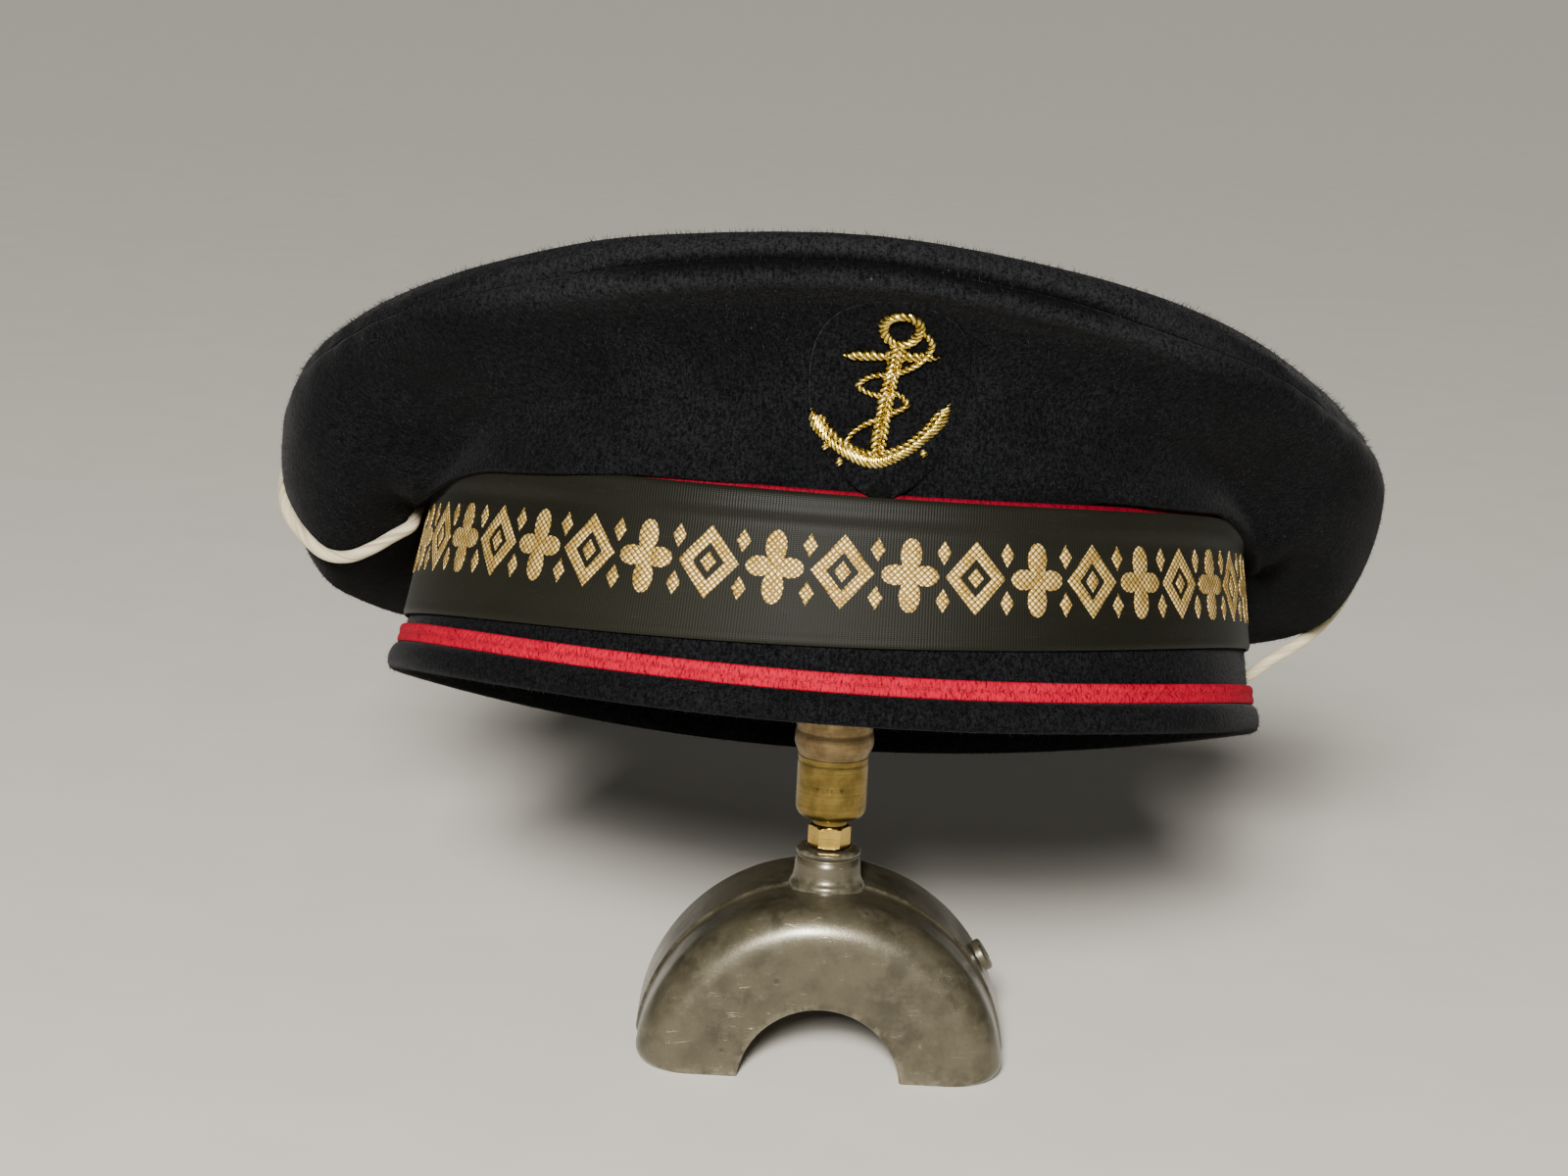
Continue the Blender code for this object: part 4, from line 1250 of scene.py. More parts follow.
@dataclass
class HeadBand:
    """The felt band with its turned hem, and the two red braids sewn on it."""

    shape: CapShape
    felt: Material
    fibre: Material
    columns: int = 400
    wall_rows: int = 26
    hem_rows: int = 17
    inner_rows: int = 14
    hem_sway: float = 0.00035
    hem_round: float = 0.8
    plait: float = 0.0017
    plait_lean: float = 1.3
    plait_depth: float = 0.00016
    row_steps: int = 9
    row_round: float = 0.45
    braid_back: float = 0.0005
    double_columns: int = 1800
    top_columns: int = 1300
    stitch_step: float = 0.0026
    stitch_lift: float = 0.00066
    stitch_half: tuple = (0.00065, 0.00026, 0.0002, 1.0)
    nap_doublings: int = 14

    def hoop(self, heights: np.ndarray, outs: np.ndarray, count: int) -> tuple[np.ndarray, np.ndarray]:
        """A closed hoop round the band from a profile that is the same all round.

        Args:
            heights: the profile's heights, closed.
            outs: how far out each is.
            count: steps round the cap.

        Returns:
            The table of places and the flat places for patterns.
        """
        turn = azimuths(count)[:, None]
        runs = run_length(np.stack([heights, outs], axis=1))
        cloth = flat_places(turn * self.shape.girth_radius, runs)
        return self.shape.band_place(turn, heights, outs), cloth

    def build_band(self) -> np.ndarray:
        """Builds the band, a flat wall over a soft rolled hem.

        Returns:
            The table of its outside.
        """
        s = self.shape
        turn = np.linspace(0, math.pi, self.hem_rows + 2)[1:-1]
        hem = s.hem_height * (0.5 + 0.5 * np.cos(turn))
        down = np.linspace(s.band_height, s.hem_height * 1.02, self.wall_rows)
        up = np.linspace(0.0, s.band_height, self.inner_rows)
        heights = np.concatenate([down, hem, up, [s.band_height]])
        bulge = s.hem_bulge * np.sin(turn) ** self.hem_round
        outs = np.concatenate([down * 0, bulge, up * 0 - s.wall, [0.0]])
        rim = self.wall_rows + self.hem_rows
        outs[rim] = -s.wall * 0.75
        table, cloth = self.hoop(heights, outs, self.columns)
        normal = s.band_place(azimuths(self.columns)[:, None], heights, outs + 1.0) - table
        low = hump(heights, s.hem_height * 0.4, s.hem_height * 0.7)[None, :] * self.hem_sway
        sway = ripple(table, size=0.022, seed=3.0) * low * (outs > -s.wall * 0.5)
        table = table + normal * sway[..., None]
        add_piece("felt_band", grid_body(table, cloth), self.felt, ["band"], s.on_stand)
        return table[:, rim::-1]

    def braid(self, bottom: float, rows: int, count: int) -> tuple[np.ndarray, np.ndarray]:
        """A flat plaited braid.

        Args:
            bottom: height of its lower edge.
            rows: how many plaited rows lie side by side.
            count: steps round the cap.

        Returns:
            The table of places and the flat places for patterns.
        """
        s = self.shape
        share = np.linspace(0, 1, self.row_steps * rows + 1)
        heights = np.concatenate([bottom + s.braid_width * share, [bottom + s.braid_width, bottom, bottom]])
        heights[-1] = heights[0]
        arch = np.abs(np.sin(share * rows * math.pi)) ** self.row_round
        turn = azimuths(count)[:, None]
        around = turn * s.girth_radius
        row = np.floor(share * rows - 1e-6)
        lean = np.where(row % 2 == 0, 1.0, -1.0) * (share * rows - row - 0.5) * self.plait_lean
        plait = np.abs(np.cos(math.pi * (around / self.plait + lean[None, :])))
        swell = s.braid_thickness - self.braid_back - self.plait_depth * (1 - plait)
        face = s.gap + self.braid_back + swell * arch[None, :]
        outs = np.concatenate([face, np.full((len(turn), 2), s.gap), face[:, :1]], axis=1)
        runs = np.concatenate([s.braid_width * share, [0.0, 0.0, 0.0]])
        return s.band_place(turn, heights, outs), flat_places(around, runs)

    def build_braids(self) -> None:
        """Builds the two-row braid over the hem and the one that peeps out over the ribbon."""
        s = self.shape
        # Painted shade: the upper braid, under the crown's overhang, gets a darker copy of the red yarn.
        shaded_top_colours = ((0.022, 0.000, 0.001), (0.165, 0.0002, 0.009), (0.235, 0.002, 0.018))
        for name, node, bottom, count, yarn in (
            ("double_braid", "lower_braid", s.hem_height, self.double_columns, BraidYarn()),
            ("top_braid", "upper_braid", s.band_height + s.gap - s.braid_width, self.top_columns,
             BraidYarn("deep_red_yarn", *shaded_top_colours)),
        ):
            body = grid_body(*self.braid(bottom, 2, count))
            add_piece(name, body, yarn.make(), [node], s.on_stand)

    def build_stitches(self) -> None:
        """Builds the running stitch that holds the braid down along its groove."""
        s = self.shape
        middle = s.hem_height + s.braid_width / 2
        count = int(TURN * s.girth_radius / self.stitch_step)
        thread = Thread("red_thread", (0.110, 0.0006, 0.005), (0.250, 0.001, 0.012)).make()
        bm = bmesh.new()
        for k in range(count):
            azimuth = TURN * k / count
            ends = s.band_place(azimuth + np.array([-0.001, 0.001]), middle, s.gap + self.stitch_lift)
            ahead = Vector(ends[1] - ends[0]).normalized()
            out = Vector(s.band_place(azimuth, middle, 1.0) - s.band_place(azimuth, middle, 0.0))
            up = out.cross(ahead)
            turn = Matrix((ahead, up, out)).transposed().to_4x4()
            place = Matrix.Translation((ends[0] + ends[1]) / 2) @ turn @ Matrix.Diagonal(self.stitch_half)
            bmesh.ops.create_uvsphere(bm, u_segments=8, v_segments=5, radius=1.0, matrix=place)
        bmesh.ops.recalc_face_normals(bm, faces=bm.faces)
        add_piece("braid_stitches", bm, thread, (), s.on_stand)

    def build(self) -> None:
        """Builds the band and what is sewn on it."""
        outside = self.build_band()
        Nap(seed=3).build("band_nap", outside, self.fibre, self.nap_doublings, self.shape.on_stand)
        self.build_braids()
        self.build_stitches()


class Motif(Enum):
    """The woven ornaments. Each figure has a width, a height, a middle, its sides and its stroke."""

    LOZENGE = (
        (0.0128, 0.0150, (0.0, 0.0), 4, 0.0024), (0.0034, 0.0044, (0.0, 0.0), 4, 0.0),
    )
    LINK = (
        (0.0030, 0.0050, (0.0, -0.0048), 4, 0.0), (0.0030, 0.0050, (0.0, 0.0048), 4, 0.0),
    )
    LEAVES = (
        (0.0044, 0.0068, (0.0, 0.0041), 20, 0.0), (0.0056, 0.0042, (0.0031, 0.0), 20, 0.0),
        (0.0044, 0.0068, (0.0, -0.0041), 20, 0.0), (0.0056, 0.0042, (-0.0031, 0.0), 20, 0.0),
        (0.0030, 0.0034, (0.0, 0.0), 20, 0.0),
    )


@dataclass
class TallyRibbon:
    """The ribbed silk ribbon with a plain row of gold woven ornament."""

    shape: CapShape
    columns: int = 480
    rows: int = 34
    edge_share: float = 0.004
    edge_round: float = 0.00025
    face_drop: float = 0.0003
    back_drop: float = 0.0002
    selvedge: tuple = (0.00012, 0.0009, 0.0005)
    ornament_middle: float = 0.0302
    ornament_step: float = 0.0068
    relief: float = 0.00032
    sunk: float = 0.00012
    skew_share: float = 0.35
    bevel: float = 0.00018
    cut: float = 0.0012
    pattern_radius: float = 0.095
    reach: float = math.radians(88.0)

    def face_out(self, height: np.ndarray) -> np.ndarray:
        """How far the ribbon's face stands off the band, which it meets closer below the upper braid.

        Args:
            height: heights over the rim.

        Returns:
            The distances.
        """
        s = self.shape
        over = s.band_height - s.braid_width
        bend = over - 3 * s.braid_face
        share = np.clip((height - bend) / (over - bend), 0, 1)
        low = s.gap + s.ribbon_thickness
        return low + (s.ribbon_face - low) * share * share * (3 - 2 * share)

    def edges(self, azimuth: np.ndarray) -> tuple[float, np.ndarray]:
        """The ribbon's top height and its bottom height at each azimuth."""
        top = self.shape.band_height - self.shape.ribbon_to_top
        return top, top - self.shape.ribbon_width + self.shape.ribbon_skew * np.sin(azimuth)

    def build_ribbon(self) -> None:
        """Builds the ribbon with a firm rounded selvedge along both edges."""
        s = self.shape
        turn = azimuths(self.columns)[:, None]
        top, bottom = self.edges(turn)
        inside = np.linspace(self.edge_share, 1 - self.edge_share, self.rows)
        share = np.concatenate([[0.0], inside, [1.0]])[None, :]
        height = top + (bottom - top) * share
        edge = np.minimum(share, 1 - share) * s.ribbon_width
        at_edge = np.exp(-edge / self.edge_round)
        raised, middle, width = self.selvedge
        out = self.face_out(height) - self.face_drop * at_edge + raised * hump(edge, middle, width)
        front = s.band_place(turn, height, out)
        out = self.face_out(height) - s.ribbon_thickness + self.back_drop * at_edge
        back = s.band_place(turn, height, out)
        table = np.concatenate([front, back[:, ::-1], front[:, :1]], axis=1)
        across = np.concatenate([share, share[:, ::-1], share[:, :1]], axis=1) * s.ribbon_width
        body = grid_body(table, flat_places(turn * s.girth_radius, across))
        silk = RibbonWeave().make()
        add_piece("silk_ribbon", body, silk, ["tally_ribbon"], s.on_stand)

    def figure(self, width: float, height: float, at: tuple, sides: int, hollow: float) -> BMesh:
        """One flat pointed or round figure of an ornament.

        Args:
            width: its width.
            height: its height.
            at: its middle, from the ornament's middle.
            sides: how many sides it has. Four make a lozenge and many an oval.
            hollow: the width of its stroke, or 0 where it is solid.

        Returns:
            The figure, facing up.
        """
        bm = bmesh.new()
        bmesh.ops.create_circle(bm, cap_ends=True, segments=sides, radius=1.0)
        bmesh.ops.scale(bm, verts=bm.verts, vec=(width / 2, height / 2, 1))
        bmesh.ops.translate(bm, verts=bm.verts, vec=(*at, 0))
        if hollow:
            made = bmesh.ops.inset_region(
                bm, faces=bm.faces[:], thickness=hollow, use_boundary=True, use_even_offset=True,
            )
            inner = [face for face in bm.faces if face not in made["faces"]]
            bmesh.ops.delete(bm, geom=inner, context="FACES_ONLY")
        return bm

    def place_shape(self, shape: BMesh, azimuth: float) -> None:
        """Thickens a flat figure and lays it on the ribbon's face.

        Args:
            shape: the figure.
            azimuth: where its ornament's middle goes.
        """
        s = self.shape
        tops = new_corners(bmesh.ops.extrude_face_region(shape, geom=shape.faces[:]))
        bmesh.ops.translate(shape, verts=tops, vec=(0, 0, self.relief))
        raised = set(tops)
        rim = [
            edge for edge in shape.edges
            if raised.issuperset(edge.verts) and len(edge.link_faces) == 2
            and any(abs(face.normal.z) < 0.5 for face in edge.link_faces)
        ]
        bmesh.ops.bevel(shape, geom=rim, offset=self.bevel, segments=2, profile=0.5, affect="EDGES")
        xs = [v.co.x for v in shape.verts]
        for cut in np.arange(min(xs), max(xs), self.cut)[1:]:
            geom = shape.verts[:] + shape.edges[:] + shape.faces[:]
            bmesh.ops.bisect_plane(shape, geom=geom, plane_co=(cut, 0, 0), plane_no=(1, 0, 0), dist=1e-7)
        layer = shape.loops.layers.uv.new("cloth")
        for face in shape.faces:
            for loop in face.loops:
                loop[layer].uv = (loop.vert.co.x + azimuth * self.pattern_radius, loop.vert.co.y)
        for vert in shape.verts:
            here = azimuth + vert.co.x / s.ribbon_radius
            skew = self.skew_share * s.ribbon_skew * math.sin(here)
            height = self.ornament_middle + vert.co.y + skew
            out = self.face_out(np.array(height)) + vert.co.z - self.sunk
            vert.co = s.band_place(here, height, out)

    def build_ornament(self) -> None:
        """Builds the row of gold ornaments over the ribbon's front."""
        order = [Motif.LOZENGE, Motif.LINK, Motif.LEAVES, Motif.LINK]
        pitch = self.ornament_step / self.shape.ribbon_radius
        half = int(self.reach / pitch)
        whole = bmesh.new()
        for k in range(-half, half + 1):
            for width, height, at, sides, hollow in order[k % len(order)].value:
                figure = self.figure(width, height, at, sides, hollow)
                self.place_shape(figure, k * pitch)
                join(whole, figure)
        bmesh.ops.recalc_face_normals(whole, faces=whole.faces)
        gold = GoldWeave().make()
        add_piece("gold_ornament", whole, gold, (), self.shape.on_stand, sharp=40)

    def build(self) -> None:
        """Builds the ribbon and its ornament."""
        self.build_ribbon()
        self.build_ornament()


# Crown


@dataclass
class Crown:
    """The soft felt crown: its side, which is raised in front and droops over the ears, and its top."""

    shape: CapShape
    felt: Material
    fibre: Material
    columns: int = 420
    mean_radius: float = 0.105
    groove: float = 0.0030
    groove_width: float = 0.0017
    groove_fade: float = 0.0150
    soft_seam: float = 0.12
    front_reach: tuple = (20.0, 56.0)
    puff: float = 0.0012
    puff_place: float = 0.0042
    puff_width: float = 0.0026
    pucker: float = 0.00014
    pucker_place: float = 0.0018
    pucker_width: float = 0.004
    side_waves: tuple = (61, 2.1, 7)
    top_waves: tuple = (57, 2.4, 5)
    slack: float = 0.0009
    slack_start: float = 0.02
    left_fullness: float = 0.0018
    right_flatness: float = 0.0022
    droop: float = 0.0026
    droop_reach: tuple = (1.0, 17.0, 50.0, 72.0)
    droop_place: float = 0.0032
    droop_width: float = 0.0026
    droop_out: float = 0.6
    left_fold: float = 0.0098
    left_reach: tuple = (50.0, 78.0, 98.0, 128.0)
    right_fold: float = 0.0100
    right_reach: tuple = (58.0, 84.0, 98.0, 128.0)
    hang_ease: float = 0.0009
    fold_place: float = 0.0080
    fold_width: float = 0.0088
    fold_start: float = 0.003
    fold_out: float = 0.12
    ear_reach: tuple = (0.72, 0.98)
    ear_knot: float = 5.1
    ear_width: float = 0.85
    side_rows: int = 84
    roll_rows: int = 26
    top_rows: int = 59
    sag: float = 0.0010
    centre_fade: int = 8
    roll_fade: int = 20
    far_from_seam: float = 0.1
    bare_rows: int = 8
    nap_doublings: int = 15

    def firmness(self, azimuth: float) -> float:
        """How deep the seam is drawn in: fully in front and hardly at all towards the ears."""
        front = soft_step(abs(math.degrees(math.remainder(azimuth, TURN))), *self.front_reach)
        return 1 - (1 - self.soft_seam) * front

    def seam_lift(self, azimuth: float, run: np.ndarray, waves: tuple) -> np.ndarray:
        """How far the cloth rises or sinks beside the seam.

        Args:
            azimuth: angle round the cap.
            run: distances from the seam.
            waves: how the puckers repeat: waves round the cap, how far they stray, and how often.

        Returns:
            The lift at each distance.
        """
        many, stray, often = waves
        wavy = math.sin(azimuth * many + stray * math.sin(azimuth * often))
        lift = self.puff * hump(run, self.puff_place, self.puff_width)
        lift = self.firmness(azimuth) * (lift - self.groove * hump(run, 0.0, self.groove_width))
        return lift + self.pucker * wavy * hump(run, self.pucker_place, self.pucker_width)

    def ear_lift(self, azimuth: float, places: np.ndarray) -> np.ndarray:
        """How far the felt stands off its plain form over the ears: fuller left and flatter right.

        Args:
            azimuth: angle round the cap.
            places: parameters along the section.

        Returns:
            The lift at each.
        """
        size = self.left_fullness if math.sin(azimuth) < 0 else -self.right_flatness
        reach = soft_step(abs(math.sin(azimuth)), *self.ear_reach)
        return size * reach * hump(places, self.ear_knot, self.ear_width)

    def hang(self, azimuth: float, flat: np.ndarray, runs: np.ndarray) -> np.ndarray:
        """Lets the lower edge hang over the ribbon, a little left of the badge and more at the ears.

        Args:
            azimuth: angle round the cap.
            flat: the section's points (out, up).
            runs: the length run at each.

        Returns:
            The points where the cloth hangs, kept clear of the ribbon's face.
        """
        right = math.degrees(math.remainder(azimuth, TURN))
        size, reach = (self.right_fold, self.right_reach) if right > 0 else (self.left_fold, self.left_reach)
        fold = size * self.between(abs(right), reach) * hump(runs, self.fold_place, self.fold_width)
        fold = fold * np.clip(1 + flat[:, 1] / size, 0, 1) * np.clip(runs / self.fold_start, 0, 1)
        edge = self.droop * self.between(-right, self.droop_reach)
        edge = edge * hump(runs, self.droop_place, self.droop_width)
        moved = flat + np.stack([self.droop_out * edge + self.fold_out * fold, -edge - fold], axis=1)
        clear = self.shape.ribbon_face + self.shape.gap
        nearest = clear * np.clip(-moved[:, 1] / self.hang_ease, 0, 1)
        moved[:, 0] = np.where(moved[:, 1] < 0, np.maximum(moved[:, 0], nearest), moved[:, 0])
        return moved

    def between(self, value: float, reach: Sequence[float]) -> float:
        """1 between the middle two of four values, and a smooth fall to 0 at the outer two."""
        start, full, fade, end = reach
        return soft_step(value, start, full) * (1 - soft_step(value, fade, end))

    def fading(self) -> np.ndarray:
        """What is added to each column's distances from the seam, so that its shading fades with it."""
        firms = np.array([self.firmness(azimuth) for azimuth in azimuths(self.columns)])
        return (1 - firms[:, None]) * self.groove_fade

    def add_felt(self, name: str, node: str, table: np.ndarray, runs: np.ndarray) -> None:
        """Adds one of the crown's two pieces.

        Args:
            name: the piece's name.
            node: the CAD node that it stands for.
            table: its places by column and row.
            runs: the distance from the seam at each place.
        """
        cloth = flat_places(azimuths(self.columns)[:, None] * self.mean_radius, runs)
        add_piece(name, grid_body(table, cloth), self.felt, [node], self.shape.on_stand)

    def build_side(self) -> np.ndarray:
        """Builds the side.

        Returns:
            The table of its outside.
        """
        s = self.shape
        outer, inner, lengths = [], [], []
        for azimuth in azimuths(self.columns):
            last = s.seam_knot - 0.25 * s.seam_step(azimuth)
            places = np.minimum(np.linspace(0, s.seam_knot, self.side_rows), last)
            flat, out = s.section(azimuth, places)
            runs = run_length(flat)
            flat = self.hang(azimuth, flat, runs)
            lift = self.seam_lift(azimuth, runs[-1] - runs, self.side_waves) + self.ear_lift(azimuth, places)
            outer.append(s.crown_place(azimuth, flat + out * lift[:, None]))
            under = flat + out * (np.minimum(lift, 0.0) - s.cloth)[:, None]
            inner.append(s.crown_place(azimuth, under[::3]))
            lengths.append(runs)
        outer, inner, lengths = np.array(outer), np.array(inner), np.array(lengths)
        waves = ripple(outer, size=0.030, seed=11.0) * self.slack
        waves = waves * np.clip(lengths / self.slack_start, 0, 1)
        outer = outer + table_normals(outer) * waves[..., None]
        table = np.concatenate([outer, inner[:, ::-1], outer[:, :1]], axis=1)
        runs = lengths[:, -1:] - lengths + self.fading()
        runs = np.concatenate([runs, runs[:, ::-3][:, : inner.shape[1]], runs[:, :1]], axis=1)
        self.add_felt("crown_side_felt", "crown_side", table, runs)
        return outer

    def build_top(self) -> np.ndarray:
        """Builds the top, rolled over its edge down to the seam.

        Returns:
            The table of its outside.
        """
        s = self.shape
        turns = azimuths(self.columns)
        last = np.array([float(s.last_knot)])
        rims = np.array([s.crown_place(turn, s.section(turn, last)[0])[0] for turn in turns])
        centre = rims[:-1].mean(axis=0)
        shares = np.linspace(1, 0, self.top_rows + 1)[1:]
        outer, inner = [], []
        for azimuth, rim in zip(turns, rims):
            start = s.seam_knot + 0.25 * s.seam_step(azimuth)
            places = np.maximum(np.linspace(s.seam_knot, s.last_knot, self.roll_rows), start)
            flat, out = s.section(azimuth, places)
            lift = self.seam_lift(azimuth, run_length(flat), self.top_waves) + self.ear_lift(azimuth, places)
            roll = s.crown_place(azimuth, flat + out * lift[:, None])
            top = centre + (rim - centre) * shares[:, None]
            top[:, 2] += s.dome * (1 - shares**2)
            roll[-1] = rim + (roll[-1] - rim) * 0.5
            line = np.concatenate([roll, top])
            outer.append(self.smooth_line(line, self.roll_rows - 1, reach=14, rounds=10))
            under = s.crown_place(azimuth, (flat + out * (np.minimum(lift, 0.0) - s.cloth)[:, None])[::4])
            inner.append(np.concatenate([under[:-1], top[::3] - (0, 0, s.cloth)]))
        outer, inner = np.array(outer), np.array(inner)
        inner[:, -1] = inner[:, -1].mean(axis=0)
        order = np.arange(outer.shape[1])
        fade = np.clip(order[::-1] / self.centre_fade, 0, 1) * np.clip(order / self.roll_fade, 0, 1)
        outer[..., 2] += ripple(outer, size=0.045, seed=5.0) * self.sag * fade
        steps = np.linalg.norm(np.diff(outer, axis=1, prepend=outer[:, :1]), axis=2)
        runs = np.cumsum(steps, axis=1) + self.fading()
        runs = np.concatenate([np.full(inner.shape[:2], self.far_from_seam), runs], axis=1)
        table = np.concatenate([inner[:, ::-1], outer], axis=1)
        self.add_felt("crown_top_felt", "crown_top", table, runs)
        return outer

    def build(self) -> None:
        """Builds the side and the top, and the nap on both."""
        place = self.shape.on_stand
        side = self.build_side()[:, self.bare_rows :]
        Nap(seed=11).build("side_nap", side, self.fibre, self.nap_doublings, place)
        top = self.build_top()[:, 1:-1]
        fuzz = Nap(seed=12, length=0.0013, thickness=0.00011, lift=0.90, comb=0.35)
        fuzz.build("top_nap", top, self.fibre, self.nap_doublings, place)

    def smooth_line(self, line: np.ndarray, middle: int, reach: int, rounds: int) -> np.ndarray:
        """Softens a line's corner.

        Args:
            line: its points, which are changed.
            middle: the corner's number.
            reach: how many points each side are softened.
            rounds: how often.

        Returns:
            The line.
        """
        for _ in range(rounds):
            for i in range(middle - reach, middle + reach):
                line[i] = 0.5 * line[i] + 0.25 * (line[i - 1] + line[i + 1])
        return line


# Badge


@dataclass(frozen=True)
class Stroke:
    """A stroke of gold wire wound over a core.

    Its knots are (across, along, width). It stands a height over its base, and the wire lies a pitch
    from turn to turn. A turn leans by the slant, as a share of the stroke's width, and the hollow
    between two turns is the depth, as a share of the height.
    """

    knots: Sequence[tuple]
    height: float
    pitch: float
    base: float
    slant: float
    depth: float
    closed: bool = False


@dataclass
class Badge:
    """The oval felt patch and the anchor, embroidered in gold purl and cord."""

    shape: CapShape
    felt: Material
    azimuth: float = math.radians(4.0)
    patch_width: float = 0.031
    patch_height: float = 0.0415
    patch_bottom: float = 0.0012
    patch_thickness: float = 0.0006
    patch_lift: float = 0.0001
    patch_edge: float = 0.0011
    tip_lift: float = 0.0022
    tip_drop: float = 0.0020
    tip_reach: float = 0.0022
    cloth_place: float = 0.3
    looked_up: tuple = (0.020, 0.046)
    last_place: float = 4.7
    turn_steps: int = 7
    wire_sides: int = 13
    wrap: float = 0.12
    back_turn: float = 1.2
    back_share: float = 0.25
    back_drop: float = 0.0001
    turn_round: float = 0.7
    side_share: float = 0.6
    most_tall: float = 0.75
    spread: float = 0.027
    ring: tuple = (0.037, 1.31, 0.118, 0.150, 0.076)
    stock: tuple = (
        (-0.338, 1.034, 0.020), (-0.256, 1.038, 0.085), (-0.020, 1.052, 0.075), (0.222, 1.070, 0.085),
        (0.322, 1.078, 0.020),
    )
    shank: tuple = (
        (0.025, 1.175, 0.070), (0.015, 1.000, 0.085), (-0.015, 0.700, 0.095), (-0.040, 0.430, 0.110),
        (-0.055, 0.260, 0.130),
    )
    arms: tuple = (
        (-0.545, 0.600, 0.015), (-0.490, 0.485, 0.120), (-0.400, 0.370, 0.080), (-0.250, 0.275, 0.090),
        (-0.060, 0.240, 0.125), (0.130, 0.305, 0.090), (0.290, 0.435, 0.080), (0.395, 0.580, 0.120),
        (0.455, 0.705, 0.015),
    )
    rope: tuple = (
        (0.160, 1.330, 0.035), (0.248, 1.200, 0.045), (0.200, 1.040, 0.045), (0.070, 0.930, 0.045),
        (-0.150, 0.870, 0.045), (-0.215, 0.790, 0.045), (-0.090, 0.725, 0.045), (0.075, 0.740, 0.045),
        (0.138, 0.668, 0.045), (0.040, 0.590, 0.045), (-0.130, 0.510, 0.045), (-0.245, 0.415, 0.042),
        (-0.265, 0.340, 0.040), (-0.205, 0.285, 0.034),
    )
    chips: tuple = ((-0.420, 0.350), (-0.310, 0.245), (0.290, 0.345))

    def __post_init__(self) -> None:
        """Measures the crown's front once, so that places on it can be looked up."""
        s = self.shape
        beside, above = self.looked_up
        self.across = np.linspace(-beside, beside, 61)
        self.along = np.linspace(0.0, above, 116)
        ground, lifted = [], []
        for across in self.across:
            azimuth = self.azimuth + across / (s.rim_width / 2 - s.taper)
            flat, out = s.section(azimuth, np.linspace(0, self.last_place, 160))
            runs = run_length(flat)
            spot = np.stack([np.interp(self.along, runs, flat[:, k]) for k in (0, 1)], axis=1)
            away = np.stack([np.interp(self.along, runs, out[:, k]) for k in (0, 1)], axis=1)
            ground.append(s.crown_place(azimuth, spot))
            lifted.append(s.crown_place(azimuth, spot + away * MM))
        self.ground = np.array(ground)
        self.lifted = np.array(lifted)

    def place(self, flat: np.ndarray) -> np.ndarray:
        """Looks up places on the crown's front.

        Args:
            flat: the places as (across, along, lift) from the badge's lower middle.

        Returns:
            The places in the cap's frame.
        """
        i, j = (
            np.clip((flat[..., k] - line[0]) / (line[1] - line[0]), 0, len(line) - 1.001)
            for k, line in enumerate((self.across, self.along))
        )
        a, b = i.astype(int), j.astype(int)
        fa, fb = (i - a)[..., None], (j - b)[..., None]

        def look_up(table: np.ndarray) -> np.ndarray:
            """Blends the four nearest measured places.

            Args:
                table: the measured places.

            Returns:
                The places between them.
            """
            left = table[a, b] * (1 - fb) + table[a, b + 1] * fb
            right = table[a + 1, b] * (1 - fb) + table[a + 1, b + 1] * fb
            return left * (1 - fa) + right * fa

        low = look_up(self.ground)
        places = low + (look_up(self.lifted) - low) * (flat[..., 2] / MM)[..., None]
        places[..., 2] += np.minimum(flat[..., 1], 0.0)
        return places

    def build_patch(self) -> None:
        """Builds the patch with a pressed, stitched-down edge."""
        middle = self.patch_bottom + self.patch_height / 2
        turn = np.linspace(0, TURN, 97)[:, None]
        rise = np.linspace(0, 1, 40)
        inward = (1 - rise)[None, :] * self.patch_width / 2
        top = self.patch_lift + self.patch_thickness * np.clip(1 - np.exp(-inward / self.patch_edge), 0, 1)
        share = np.concatenate([np.array([[0.0, 0.5, 1.0]]), rise[None, ::-1]], axis=1)
        lift = np.concatenate([np.full((1, 3), self.patch_lift), top[:, ::-1]], axis=1)
        across = share * self.patch_width / 2 * np.sin(turn)
        along = middle - share * self.patch_height / 2 * np.cos(turn)
        tip = np.exp(-np.clip(along - self.patch_bottom, 0, None) / self.tip_reach)
        flat = np.stack([across, along - self.tip_drop * tip, lift + self.tip_lift * tip], axis=-1)
        body = grid_body(self.place(flat), flat[..., :2] + self.cloth_place)
        add_piece("badge_patch", body, self.felt, ["anchor_patch"], self.shape.on_stand)

